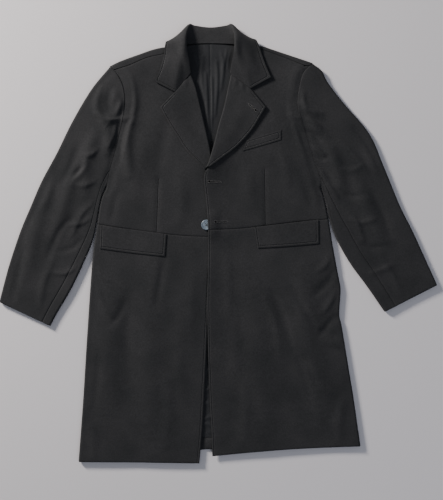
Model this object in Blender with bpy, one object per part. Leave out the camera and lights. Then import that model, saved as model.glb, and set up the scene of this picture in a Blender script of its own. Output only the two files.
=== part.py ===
# A single-breasted wool overcoat that lies flat on its back, front side up, unbuttoned.
# Millimetres in every table and function here; the meshes are written in metres.
# X runs to the wearer's left, Y from hem to collar, Z up from the surface that the coat lies on.
# Right and left are the wearer's own.

import math

import bpy
import numpy as np

MM = 0.001

# Thickness of the cloth and of what lies between the layers
CLOTH = 3.0
BACK_CLOTH = 3.0
LINING_CLOTH = 1.0
LINING_LAY = 0.45
LINING_WAVE = 0.45
COLLAR_CLOTH = 2.5
TRIM_CLOTH = 2.2
SEAM_GAP = 0.3
AIR = 3.4
FLAT_TOP = BACK_CLOTH + AIR + CLOTH

# How far one layer of cloth stands off the one that it is laid on
LAY_GAP = 0.6
LAPEL_LAY = 0.9

# The neck, and how high the back is lifted there by the collar beneath it
NECK_CENTRE = -19.0
NECK_LIFT = 2.9
NECK_LIFT_START = 425.0
NECK_LIFT_FULL = 462.0
NECK_LIFT_WIDTH = (94.0, 122.0)

# Turned-up hem of the back, which shows between the fronts
HEM_TURN_DEPTH = 29.0
HEM_TURN_RISE = 1.3

# Columns of the back from its centre seam to its side, and how many of them the lining covers
BACK_COLUMNS = 9
LINING_COLUMNS = 3

# Rows up the side: below the waist and from there to the underarm
SKIRT_ROWS = 14
WAIST_ROWS = 3

# Half the gap in the shoulder seam, and how far the lapel's roll stands off the front's edge
SHOULDER_SEAM_GAP = 0.35
LAPEL_SEAM_INSET = 4.4

# How far the back's side stands off the front's turned-under edge
SIDE_SEAM_GAP = 1.0

# Sleeves: where the back seam lies across the underside, rows from armhole to cuff, and how far
# the sleeve's edge stands off the armhole
SLEEVE_BACK_SEAM = 0.84
SLEEVE_ROWS = 15
ARMHOLE_GAP = 0.3

LAPEL_COLUMNS = 6

# Steps round a turned edge of the fronts, sleeves and lapels, and round the shoulder
TURN_STEPS = 5
SHOULDER_STEPS = 6

# How far from a turned edge the cloth keeps the edge's height, past the turn itself
TURN_MARGIN = 0.2
FRONT_EASE = 18.0
SLEEVE_EASE = 14.0
LAPEL_EASE = 12.0

# Distance from the neck's centre at which the back begins to come over the shoulder
SHOULDER_WRAP = (96.0, 116.0)
NECK_EDGE_FLAT = 2.1

COLLAR_COLUMNS = 12
COLLAR_ROWS = 4
COLLAR_SEAM_GAP = 0.35
COLLAR_FRONT_SHARE = 0.42

# Where the side fold ends and the armhole begins
SIDE_FOLD_END = 105.0
ARMHOLE_START = 150.0

BUTTON_DIAMETER = 25.0
BUTTON_THICKNESS = 3.4
BUTTON_CENTRE = (-29.0, 46.0)
BUTTON_RIM = 2.6
BUTTON_RIM_RISE = 0.7
BUTTON_HOLE = 1.7
BUTTON_HOLE_SPACING = 4.6

CHARCOAL = (0.022, 0.022, 0.024, 1.0)
LINING_BLACK = (0.012, 0.012, 0.014, 1.0)
HORN_BLUE = (0.13, 0.16, 0.19, 1.0)

# Outlines of each side of the coat, seen from above.
# side: side fold from the hem to the waist, then to the underarm
# armhole: underarm to shoulder, the last point on the shoulder's outer edge
# front_edge: hem to waist, then to where the lapel begins; roll: from there to the collar
RIGHT = {
    "sign": -1,
    "hem": ((-46, -529), (-190, -527), (-338, -526)),
    "back_hem": ((-8, -496), (-45, -497), (-166, -508), (-263, -520), (-334, -522)),
    "side_low": ((-338, -526), (-327, -378), (-318, -232), (-305, -46), (-293, 48)),
    "side_high": ((-293, 48), (-284, 104), (-270, 143)),
    "armhole": ((-270, 143), (-263, 176), (-252, 215), (-240, 262), (-230, 305), (-225, 345),
                (-229, 378), (-239, 402), (-252, 420)),
    "shoulder_point": (-262, 428),
    "waist": ((-13, 17), (-85, 20), (-160, 28), (-230, 38), (-293, 48)),
    "front_low": ((-46, -529), (-39, -450), (-35, -378), (-27, -215), (-21, -87), (-13, 17)),
    "front_high": ((-13, 17), (-12, 46), (-13, 119), (-16, 176)),
    "roll": ((-16, 176), (-19, 223), (-31, 279), (-44, 335), (-54, 376), (-67, 411)),
    "neckline": ((-67, 411), (-86, 431), (-98, 453), (-104, 464)),
    "shoulder_seam": ((-104, 464), (-131, 459), (-172, 450), (-217, 431), (-252, 420)),
    "back_top": ((-21, 484), (-57, 482), (-90, 476), (-112, 472), (-130, 475), (-159, 469),
                 (-190, 458), (-238, 440), (-262, 428)),
    "sleeve_outer": ((-262, 428), (-307, 373), (-353, 295), (-390, 220), (-427, 151), (-455, 86),
                     (-478, 31), (-506, -53), (-529, -140)),
    "sleeve_inner": ((-270.8, 143), (-285, 104), (-295, 48), (-301, 17), (-315, -22), (-353, -104),
                     (-390, -168), (-406, -198)),
    "sleeve_seam": ((0.0, 0.113), (0.2, 0.12), (0.5, 0.13), (1.0, 0.16)),
    "lapel_foot": ((-17, 191), (-33, 179)),
    "lapel_edge": ((-33, 179), (-56, 203), (-79, 228), (-99, 259), (-120, 292), (-140, 329)),
    "notch": (-105, 366),
    "collar_point": (-154, 391),
    "flap": ((-284, 45), (-125, 24), (-129, -30), (-286, -11)),
}
LEFT = {
    "sign": 1,
    "hem": ((-15, -512), (88, -502), (197, -494), (343, -488)),
    "back_hem": ((-8, -496), (100, -494), (197, -491), (338, -484)),
    "side_low": ((343, -488), (326, -370), (310, -273), (298, -200), (292, -169), (295, -111),
                 (290, -79), (278, -15), (266, 60)),
    "side_high": ((266, 60), (256, 106), (248, 138)),
    "armhole": ((248, 138), (244, 163), (234, 192), (212, 258), (197, 302), (190, 335), (193, 372),
                (203, 410), (219, 430)),
    "shoulder_point": (227, 436),
    "waist": ((-25, 34), (48, 37), (120, 45), (195, 54), (266, 60)),
    "front_low": ((-15, -512), (-17, -450), (-21, -378), (-25, -270), (-27, -160), (-26, -60),
                  (-25, 34)),
    "front_high": ((-25, 34), (-28, 82), (-33, 131), (-35, 155), (-32, 179)),
    "roll": ((-32, 179), (-24, 197), (-13, 233), (0, 284), (13, 330), (23, 376), (30, 409)),
    "neckline": ((30, 409), (47, 433), (59, 457), (66, 470)),
    "shoulder_seam": ((66, 470), (98, 471), (154, 452), (206, 431), (219, 430)),
    "back_top": ((-21, 484), (16, 482), (48, 477), (74, 474), (100, 478), (137, 467), (178, 453),
                 (227, 436)),
    "sleeve_outer": ((227, 436), (250, 417), (264, 390), (302, 340), (364, 266), (399, 187),
                     (439, 90), (471, 26), (528, -99)),
    "sleeve_inner": ((249, 138), (257.5, 106), (268, 60), (286, 10), (318, -47), (359, -103),
                     (401, -164)),
    "sleeve_seam": ((0.0, 0.085), (0.2, 0.16), (0.5, 0.23), (1.0, 0.21)),
    "lapel_foot": ((-30, 184), (-21, 186)),
    "lapel_edge": ((-21, 186), (13, 210), (43, 233), (68, 259), (84, 279), (99, 304), (114, 329)),
    "notch": (77, 374),
    "collar_point": (126, 401),
    "flap": ((86, 41), (241, 59), (242, 1), (94, -10)),
}
WELT_CORNERS = ((69, 250), (151, 275), (151, 251), (58, 224))

# Padding and canvas that fill the coat out: centre x, centre y, reach in x, reach in y, height
FILLED_PLACES = (
    (-140, 310, 75, 110, 2.2),
    (105, 310, 75, 110, 2.2),
    (-232, 400, 45, 50, 2.6),
    (205, 405, 45, 50, 2.6),
    (-262, 330, 40, 80, 1.6),
    (225, 330, 40, 80, 1.6),
)

# Largest folds of the cloth: start x, y, middle x, y, end x, y, half width, height
FOLDS = (
    (-216, 396, -208, 345, -212, 296, 13, 5.0),
    (-214, 296, -222, 240, -214, 168, 14, 4.5),
    (-250, 362, -238, 335, -262, 292, 11, 4.0),
    (-276, 290, -264, 262, -268, 222, 12, 3.0),
    (-300, 262, -318, 200, -322, 120, 16, 3.0),
    (-352, 180, -372, 96, -398, 20, 18, 2.5),
    (-420, 90, -448, 10, -462, -70, 18, 2.0),
    (186, 322, 200, 262, 217, 220, 12, 4.0),
    (206, 338, 222, 322, 246, 312, 10, 3.5),
    (219, 292, 236, 276, 256, 264, 10, 3.0),
    (262, 250, 284, 190, 300, 130, 16, 3.0),
    (330, 160, 362, 80, 396, 4, 18, 2.5),
    (-250, -80, -262, -240, -268, -420, 30, 2.2),
    (-150, -60, -170, -260, -160, -500, 34, 1.8),
    (70, -60, 92, -260, 110, -470, 34, 2.0),
    (196, -40, 214, -220, 250, -430, 30, 2.4),
)

# How far the left front is lifted where it lies over the right one: height up the coat, lift
OVERLAP_LIFT = (
    (-560, 0.0), (-310, 0.0), (-215, 3.7), (120, 3.8), (179, 7.9), (224, 6.4), (278, 3.2), (327, 1.4),
    (372, 0.4), (409, 0.0),
)
# How the lift fades: distance in from the left front's edge, share of the lift
OVERLAP_FADE = ((0, 1.0), (9, 1.0), (21, 0.8), (40, 0.42), (78, 0.0))
BUTTON_LIFT = 3.9
BUTTON_LIFT_REACH = (24.0, 26.0)

# Collar sections from the gorge to the centre back, half a collar:
# distance from the neck's centre, height up the coat and height off the surface of the neck seam,
# the roll and the outer edge (right and left), the way that the cloth turns at the roll in
# degrees, and how softly. An outer edge with no height lies on the coat.
COLLAR_SECTIONS = (
    ((50.0, 413, 10.6), (48.5, 411, 13.6), (135, 391, None), (145, 401, None), 90, 3.0),
    ((68.0, 431, 11.0), (52.0, 438, 19.0), (122, 420, None), (132, 430, None), 88, 4.0),
    ((80.0, 452, 10.6), (57.0, 464, 24.0), (113, 452, None), (122, 459, None), 80, 6.0),
    ((84.0, 467, 9.6), (59.0, 490, 25.0), (109, 480, 14.0), (113, 485, 14.0), 50, 6.5),
    ((79.0, 477, 8.0), (57.0, 512, 20.0), (104, 487, 7.0), (104, 492, 7.0), 15, 6.5),
    ((62.0, 481, 7.6), (50.0, 528, 12.0), (86, 475, 1.3), (84, 478, 1.3), -25, 5.5),
    ((38.0, 483, 7.6), (37.0, 526, 6.0), (46, 472, 1.3), (44, 472, 1.3), -75, 3.2),
    ((0.0, 484, 7.6), (0.0, 522, 4.4), (0, 472, 1.3), (0, 472, 1.3), -90, 3.0),
)


def spaced(first, last, count):
    return [first + (last - first) * step / count for step in range(count + 1)]


class Path:
    """A line through points, walked at an even pace from 0 to 1; shares are its points' places."""

    def __init__(self, points):
        self.points = np.array(points, dtype=float)
        steps = np.linalg.norm(np.diff(self.points, axis=0), axis=1)
        walked = np.concatenate(((0.0,), np.cumsum(steps)))
        self.length = walked[-1]
        self.shares = walked / self.length

    def __call__(self, t):
        axes = range(self.points.shape[1])
        return np.array([np.interp(t, self.shares, self.points[:, axis]) for axis in axes])


def smooth_path(points, samples=24):
    """A smooth curve through the points."""
    points = np.array(points, dtype=float)
    ends = np.vstack((2 * points[0] - points[1], points, 2 * points[-1] - points[-2]))
    way = [points[0]]
    for a, b, c, d in zip(ends, ends[1:], ends[2:], ends[3:]):
        for step in range(1, samples + 1):
            t = step / samples
            line = 2 * b + (c - a) * t + (2 * a - 5 * b + 4 * c - d) * t ** 2
            way.append(0.5 * (line + (3 * b - a - 3 * c + d) * t ** 3))
    return Path(way)


def joined_path(*paths):
    """Several paths walked one after another; joints are the places where they meet."""
    points = list(paths[0].points)
    for path in paths[1:]:
        points.extend(path.points[1:])
    whole = Path(points)
    lengths = np.cumsum([0.0] + [path.length for path in paths])
    whole.joints = lengths / lengths[-1]
    return whole


def timed(path, shares, times):
    """The same path, walked so that each of its shares is reached at the time beside it."""
    return lambda t: path(np.interp(t, times, shares))


def patch(start, end, first, last):
    """The flat region between four curves: start and end run along v, first and last along u."""
    def at(u, v):
        across = (1 - v) * first(u) + v * last(u)
        along = (1 - u) * start(v) + u * end(v)
        corners = (1 - u) * ((1 - v) * first(0) + v * last(0)) + u * ((1 - v) * first(1) + v * last(1))
        return across + along - corners

    return at


def ease(value, low, high):
    """0 below low, 1 above high, and a smooth step between."""
    t = min(max((value - low) / (high - low), 0.0), 1.0)
    return t * t * (3 - 2 * t)


def unit(vector):
    return vector / np.linalg.norm(vector)


def fullness(x, y):
    """How far padding and canvas raise the coat at a place."""
    total = 0.0
    for centre_x, centre_y, reach_x, reach_y, height in FILLED_PLACES:
        away = ((x - centre_x) / reach_x) ** 2 + ((y - centre_y) / reach_y) ** 2
        total += height * math.exp(-away)
    return total


FOLD_LINES = [
    (np.array([smooth_path(((a, b), (c, d), (e, f)))(t) for t in np.linspace(0, 1, 25)]), width, height)
    for a, b, c, d, e, f, width, height in FOLDS
]


def fold_height(x, y):
    """How far the large folds raise the cloth at a place."""
    total = 0.0
    for line, width, height in FOLD_LINES:
        gaps = np.hypot(line[:, 0] - x, line[:, 1] - y)
        nearest = int(np.argmin(gaps))
        along = nearest / (len(line) - 1)
        if gaps[nearest] < 3 * width:
            taper = math.sin(math.pi * (0.12 + 0.76 * along)) ** 0.8
            total += height * taper * math.exp(-(gaps[nearest] / width) ** 2)
    return total


def coat_top(x, y):
    """Height of the upper face of the fronts and sleeves."""
    return FLAT_TOP + fullness(x, y) + fold_height(x, y)


def coat_under(x, y):
    """Height of the under face of the fronts and sleeves, which are thicker where they are padded."""
    return coat_top(x, y) - CLOTH - 0.85 * fullness(x, y)


def floor_height(x, y):
    """How far the collar beneath lifts the back and its lining."""
    across = abs(x - NECK_CENTRE)
    return NECK_LIFT * ease(y, NECK_LIFT_START, NECK_LIFT_FULL) * (1 - ease(across, *NECK_LIFT_WIDTH))


def read_table(table, place):
    """A value read between the rows of a table of places and values."""
    return np.interp(place, [row[0] for row in table], [row[1] for row in table])


LEFT_EDGE = joined_path(*(smooth_path(LEFT[part]) for part in ("front_low", "front_high", "roll")))


def overlap_lift(x, y):
    """How far the left front rises to lie over the right one and over the button."""
    edge_x = np.interp(y, LEFT_EDGE.points[:, 1], LEFT_EDGE.points[:, 0])
    rise = read_table(OVERLAP_LIFT, y) * read_table(OVERLAP_FADE, x - edge_x)
    across = (x - BUTTON_CENTRE[0]) / BUTTON_LIFT_REACH[0]
    along = (y - BUTTON_CENTRE[1]) / BUTTON_LIFT_REACH[1]
    return rise + BUTTON_LIFT * math.exp(-(across ** 4 + along ** 4) / 2)


def front_faces(side):
    """The upper and under faces of a front, as functions of the place."""
    if side is RIGHT:
        return coat_top, coat_under
    return (
        lambda x, y: coat_top(x, y) + overlap_lift(x, y),
        lambda x, y: coat_under(x, y) + overlap_lift(x, y),
    )


def material(name, colour, roughness):
    made = bpy.data.materials.new(name)
    made.use_nodes = True
    shader = made.node_tree.nodes["Principled BSDF"]
    shader.inputs["Base Color"].default_value = colour
    shader.inputs["Roughness"].default_value = roughness
    shader.inputs["Metallic"].default_value = 0.0
    return made


def add_object(name, points, faces, finish):
    """A closed mesh with its faces outwards, from points in millimetres."""
    mesh = bpy.data.meshes.new(name)
    points = np.array(points) * MM
    volume = 0.0
    for face in faces:
        for b, c in zip(face[1:], face[2:]):
            volume += np.dot(points[face[0]], np.cross(points[b], points[c]))
    if volume < 0:
        faces = [tuple(reversed(face)) for face in faces]
    mesh.from_pydata([tuple(point) for point in points], [], faces)
    mesh.update()
    mesh.shade_smooth()
    mesh.set_sharp_from_angle(angle=math.radians(40))
    colour, roughness = finish
    mesh.materials.append(material(name + "_cloth", colour, roughness))
    made = bpy.data.objects.new(name, mesh)
    bpy.context.scene.collection.objects.link(made)
    return made


def wall(name, outer, inner, finish):
    """A wall of cloth between two grids of points."""
    rows = len(outer)
    columns = len(outer[0])
    points = [point for grid in (outer, inner) for row in grid for point in row]

    def at(face, row, column):
        return face * rows * columns + row * columns + column

    faces = []
    for row in range(rows - 1):
        for column in range(columns - 1):
            around = ((row, column), (row, column + 1), (row + 1, column + 1), (row + 1, column))
            faces.append(tuple(at(0, *corner) for corner in around))
            faces.append(tuple(at(1, *corner) for corner in reversed(around)))
    rim = [(0, column) for column in range(columns)]
    rim += [(row, columns - 1) for row in range(1, rows)]
    rim += [(rows - 1, column) for column in range(columns - 2, -1, -1)]
    rim += [(row, 0) for row in range(rows - 2, 0, -1)]
    for corner, following in zip(rim, rim[1:] + rim[:1]):
        faces.append((at(0, *following), at(0, *corner), at(1, *corner), at(1, *following)))
    return add_object(name, points, faces, finish)


def turned_edge(edge, inward, mid, half, end_mid, end_half, turn, steps):
    """Cloth that turns over an edge: how far in it starts, and its outer and inner points."""
    radius = max(abs(mid - end_mid) / 2, 0.4)
    way = -1 if end_mid < mid else 1
    turn = max(turn, 0.02)
    bend = min(math.pi * radius / turn, 2 * radius / (1 - math.cos(turn)))
    reach = bend + half if turn >= math.pi / 2 else (bend + half) * math.sin(turn)
    outer = []
    inner = []
    for step in range(1, steps + 1):
        share = step / steps
        angle = turn * share
        thick = half + (end_half - half) * share
        place = edge + inward * (reach - bend * math.sin(angle))
        height = mid + way * bend * (1 - math.cos(angle))
        sideways = inward * thick * math.sin(angle)
        upward = -way * thick * math.cos(angle)
        outer.append((*(place - sideways), height + upward))
        inner.append((*(place + sideways), height - upward))
    return reach, outer, inner


def body_side(side):
    """The outer side of the body from the waist to the shoulder seam."""
    return joined_path(smooth_path(side["side_high"]), Path(side["armhole"]))


def row_shares(path, joint, rows_before, armhole):
    """Rows up a panel: evenly spaced to the underarm, then one at each corner of the armhole."""
    rows = spaced(0.0, joint, rows_before)
    rows += [joint + (path.joints[-1] - joint) * share for share in armhole.shares[1:]]
    return rows


def side_turn(y):
    """How far the front turns under at its side: all the way below the underarm, not above."""
    return math.pi * (1 - ease(y, SIDE_FOLD_END, ARMHOLE_START))


FRONT_EDGE_STEPS = (0.0, 9.0, 21.0, 40.0)


def front_panel(name, side, region, inner_inset, rows, columns, finish):
    """A front panel from its front edge to its side, where it turns under."""
    top, under = front_faces(side)
    outer_rows = []
    inner_rows = []
    for v in rows:
        edge = region(1, v)
        inward = unit(region(0.98, v) - edge)
        width = np.linalg.norm(edge - region(0, v))
        edge_top = top(*edge)
        edge_under = under(*edge)
        mid = (edge_top + edge_under) / 2
        half = (edge_top - edge_under) / 2
        turn = side_turn(edge[1])
        edge = edge + inward * SEAM_GAP / 2
        reach, turned_outer, turned_inner = turned_edge(
            edge, inward, mid, half, BACK_CLOTH / 2, BACK_CLOTH / 2, turn, TURN_STEPS)
        first = inner_inset(region(0, v)[1]) / width
        last = 1 - (reach + TURN_MARGIN) / width
        outer_row = []
        inner_row = []
        near_edge = [first + step / width for step in FRONT_EDGE_STEPS]
        for u in near_edge + spaced(near_edge[-1], last, columns)[1:]:
            x, y = region(u, v)
            near = ease((1 - u) * width, reach, reach + FRONT_EASE)
            outer_row.append((x, y, edge_top + (top(x, y) - edge_top) * near))
            inner_row.append((x, y, edge_under + (under(x, y) - edge_under) * near))
        outer_rows.append(outer_row + turned_outer)
        inner_rows.append(inner_row + turned_inner)
    return wall(name, outer_rows, inner_rows, finish)


def build_front(side, name, finish):
    """The front above the waist seam, from the lapel's roll and the neck to the armhole."""
    inner = joined_path(*(smooth_path(side[part]) for part in ("front_high", "roll", "neckline")))
    outer = body_side(side)
    rows = row_shares(outer, outer.joints[1], WAIST_ROWS, Path(side["armhole"]))
    times = (0.0, rows[WAIST_ROWS + 1], rows[WAIST_ROWS + 6], 1.0)
    region = patch(timed(inner, inner.joints, times), outer, smooth_path(side["waist"]),
                   smooth_path(side["shoulder_seam"]))
    break_height = side["roll"][0][1]

    def inset(y):
        return 0.2 + LAPEL_SEAM_INSET * ease(y, break_height - 8, break_height + 2)

    rows[0] += 0.2 / outer.length
    rows[-1] -= SHOULDER_SEAM_GAP / outer.length
    return front_panel(name, side, region, inset, rows, 6, finish)


def build_skirt(side, name, finish):
    """The front below the waist seam."""
    region = patch(smooth_path(side["front_low"]), smooth_path(side["side_low"]),
                   smooth_path(side["hem"]), smooth_path(side["waist"]))
    rows = spaced(0.0, 0.9996, SKIRT_ROWS)
    return front_panel(name, side, region, lambda y: 0.2, rows, 6, finish)


def build_back(side, name, finish):
    """Half of the back, which comes over the shoulder's edge to the shoulder seam.

    Returns the points of its inner face, which its lining lies on.
    """
    centre_back = smooth_path((side["back_hem"][0], (-14, 0), (-21, 484)))
    armhole = Path(side["armhole"])
    shoulder_end = Path((side["armhole"][-1], side["shoulder_point"]))
    below = (smooth_path(side["side_low"]), smooth_path(side["side_high"]))
    outer = joined_path(*below, armhole, shoulder_end)
    top_line = smooth_path(side["back_top"])
    region = patch(centre_back, outer, smooth_path(side["back_hem"]), top_line)
    waist, underarm, arm_top = outer.joints[1:4]
    hem_turn = HEM_TURN_DEPTH / centre_back.length
    rows = [0.0, hem_turn - 0.001, hem_turn + 0.001]
    rows += spaced(0.0, waist, SKIRT_ROWS)[1:]
    rows += spaced(waist, underarm, WAIST_ROWS)[1:]
    rows += [underarm + (arm_top - underarm) * share for share in armhole.shares[1:]]
    seam = smooth_path(side["shoulder_seam"])
    neck_x = side["shoulder_seam"][0][0]
    shoulder_x = side["armhole"][-1][0]
    outer_rows = []
    inner_rows = []
    for share in spaced(0.0, 1.0, BACK_COLUMNS):
        top_point = region(share, 1.0)
        wrapped = ease(abs(top_point[0] - NECK_CENTRE), *SHOULDER_WRAP)
        along_seam = min(max((top_point[0] - neck_x) / (shoulder_x - neck_x), 0.0), 1.0)
        seam_point = seam(along_seam)
        inward = unit(region(share, 0.99) - top_point)
        flat = SEAM_GAP + (NECK_EDGE_FLAT - SEAM_GAP) * (1 - wrapped)
        if wrapped > 0.5:
            inward = unit(unit(seam_point - top_point) * wrapped + inward * (1 - wrapped))
        seam_top = coat_top(*seam_point)
        seam_half = (seam_top - coat_under(*seam_point)) / 2
        edge = top_point + inward * (0.0 if wrapped > 0.5 else flat)
        reach, turned_outer, turned_inner = turned_edge(
            edge, inward, floor_height(*edge) + BACK_CLOTH / 2, BACK_CLOTH / 2,
            seam_top - seam_half, seam_half, math.pi * wrapped, SHOULDER_STEPS)
        length = np.linalg.norm(region(share, 0.95) - top_point) / 0.05
        outer_row = []
        inner_row = []
        for v in rows + [1 - (reach + flat + TURN_MARGIN) / length]:
            edge = region(1.0, v)
            width = np.linalg.norm(edge - region(0.0, v))
            fold = (coat_top(*edge) - BACK_CLOTH / 2 - CLOTH / 2) / 2 + CLOTH / 2 + SIDE_SEAM_GAP
            last = 1 - (SEAM_GAP + fold * side_turn(edge[1]) / math.pi) / width
            first = SEAM_GAP / 2 / width
            x, y = region(first + (last - first) * share, v)
            low = floor_height(x, y)
            turned_up = HEM_TURN_RISE if v < hem_turn else 0.0
            outer_row.append((x, y, low))
            inner_row.append((x, y, low + BACK_CLOTH + turned_up))
        outer_row += turned_outer
        inner_row += turned_inner
        if wrapped > 0.5:
            end_place = seam_point + unit(top_point - seam_point) * SHOULDER_SEAM_GAP
            outer_row.append((*end_place, turned_outer[-1][2]))
            inner_row.append((*end_place, turned_inner[-1][2]))
        else:
            onward = np.array((*(-inward * flat * 0.9), 0.0))
            outer_row.append(tuple(np.array(turned_outer[-1]) + onward))
            inner_row.append(tuple(np.array(turned_inner[-1]) + onward))
        outer_rows.append(outer_row)
        inner_rows.append(inner_row)
    wall(name, outer_rows, inner_rows, finish)
    return inner_rows


def build_lining(back_face, name, finish):
    """Half of the back lining: it shows in the neck and between the open fronts."""
    low_columns = []
    high_columns = []
    for column in back_face[:LINING_COLUMNS + 1]:
        low_column = []
        high_column = []
        for x, y, height in column[2:-1]:
            wave = LINING_WAVE * (1 + math.sin(y / 13.0 + x / 21.0))
            wave *= ease(y, -440, -420) * (1 - ease(y, 420, 460))
            low_column.append((x, y, height + LINING_LAY))
            high_column.append((x, y, height + LINING_LAY + LINING_CLOTH + wave))
        low_columns.append(low_column)
        high_columns.append(high_column)
    wall(name, high_columns, low_columns, finish)


def sleeve_region(side):
    """The flat sleeve: u from its inner fold to its outer fold, v from armhole to cuff.

    The rows fan out from the underarm, as a sleeve's head does.
    """
    inner = smooth_path(side["sleeve_inner"])
    outer = smooth_path(side["sleeve_outer"])
    corners = list(side["armhole"]) + [side["shoulder_point"]]
    ways = np.diff(np.array(corners, dtype=float), axis=0)
    ways /= np.linalg.norm(ways, axis=1, keepdims=True)
    ways = np.vstack((ways[:1], (ways[1:] + ways[:-1]) / 2, ways[-1:]))
    aside = np.column_stack((-ways[:, 1], ways[:, 0])) * -side["sign"] * ARMHOLE_GAP
    armhole = Path(np.array(corners) + aside)
    inner_start = armhole(0.0) - inner(0.0)
    outer_start = armhole(1.0) - outer(0.0)
    cuff = Path((inner(1.0), outer(1.0)))

    def inner_side(v):
        slow = v * (1 - 0.9 * (1 - v) ** 3)
        return inner(slow) + inner_start * (1 - v) ** 4

    def outer_side(v):
        return outer(v) + outer_start * (1 - v) ** 4

    return patch(inner_side, outer_side, armhole, cuff), armhole.shares


def build_sleeve(side, name, upper, finish):
    """A top sleeve, round the outer fold, or an under sleeve, round the inner fold."""
    region, corners = sleeve_region(side)
    seam_rows = np.array(side["sleeve_seam"])
    outer_rows = []
    inner_rows = []
    for v in spaced(0.0, 1.0, SLEEVE_ROWS):
        v = v ** 1.1
        width = np.linalg.norm(region(1, v) - region(0, v))
        seam = corners[1] if v == 0 else np.interp(v, seam_rows[:, 0], seam_rows[:, 1])
        edge_u = 1.0 if upper else 0.0
        toward = -1 if upper else 1
        edge = region(edge_u, v)
        inward = unit(region(edge_u + 0.015 * toward, v) - edge)
        edge_top = coat_top(*edge)
        edge_under = coat_under(*edge)
        mid = (edge_top + edge_under) / 2
        half = (edge_top - edge_under) / 2
        reach, turned_outer, turned_inner = turned_edge(
            edge, inward, mid, half, BACK_CLOTH / 2, BACK_CLOTH / 2, math.pi, TURN_STEPS)
        gap = (SEAM_GAP / 2 + 0.05) / width
        first = seam - toward * gap
        last = edge_u + toward * (reach + TURN_MARGIN) / width
        if upper:
            shares = [(corner - corners[1]) / (1 - corners[1]) for corner in corners[1:-1]] + [1.0]
        else:
            shares = (0.0, 0.45, 1.0)
        outer_row = []
        inner_row = []
        for share in shares:
            u = first + (last - first) * share
            x, y = region(u, v)
            near = ease(abs(edge_u - u) * width, reach, reach + SLEEVE_EASE)
            outer_row.append((x, y, edge_top + (coat_top(x, y) - edge_top) * near))
            inner_row.append((x, y, edge_under + (coat_under(x, y) - edge_under) * near))
        outer_row += turned_outer
        inner_row += turned_inner
        back_seam = SLEEVE_BACK_SEAM - toward * gap
        if upper:
            below = [0.9, back_seam]
        else:
            below = list(corners[1:7]) + [back_seam]
        for u in below:
            x, y = region(u, v)
            outer_row.append((x, y, 0.0))
            inner_row.append((x, y, BACK_CLOTH))
        outer_rows.append(outer_row)
        inner_rows.append(inner_row)
    return wall(name, outer_rows, inner_rows, finish)


def build_lapel(side, name, finish):
    """A lapel turned back over its front, with a round roll down to the front's edge."""
    top, _ = front_faces(side)
    foot_roll, foot_edge = side["lapel_foot"]
    roll = smooth_path([foot_roll] + [place for place in side["roll"] if place[1] > foot_roll[1] + 4])
    edge_line = smooth_path(side["lapel_edge"])
    notch_share = LAPEL_COLUMNS // 2 / LAPEL_COLUMNS * 0.967
    upper = Path((edge_line(1.0), side["notch"], roll(1.0)))
    upper = timed(upper, upper.shares, (0.0, notch_share, 1.0))
    region = patch(edge_line, roll, Path((foot_edge, foot_roll)), upper)
    outer_rows = []
    inner_rows = []
    for v in spaced(0.0, 1.0 - 0.3 / roll.length, 13):
        edge = region(1, v)
        inward = unit(region(0.96, v) - edge)
        width = np.linalg.norm(edge - region(0, v))
        ground = top(*(edge + inward * 4))
        reach, turned_outer, turned_inner = turned_edge(
            edge, inward, ground + LAPEL_LAY + CLOTH / 2, CLOTH / 2, ground - CLOTH / 2, CLOTH / 2,
            math.pi, TURN_STEPS)
        outer_row = []
        inner_row = []
        for u in spaced(0.0, 1 - (reach + TURN_MARGIN) / width, LAPEL_COLUMNS):
            x, y = region(u, v)
            near = ease((1 - u) * width, reach, reach + LAPEL_EASE)
            base = ground + (top(x, y) - ground) * near + LAPEL_LAY
            outer_row.append((x, y, base + CLOTH))
            inner_row.append((x, y, base))
        outer_rows.append(outer_row + turned_outer)
        inner_rows.append(inner_row + turned_inner)
    return wall(name, outer_rows, inner_rows, finish)


def bezier(a, b, c, d, t):
    return (1 - t) ** 3 * a + 3 * (1 - t) ** 2 * t * b + 3 * (1 - t) * t ** 2 * c + t ** 3 * d


COLLAR_LAY = LAY_GAP + COLLAR_CLOTH / 2 + 0.25


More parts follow.
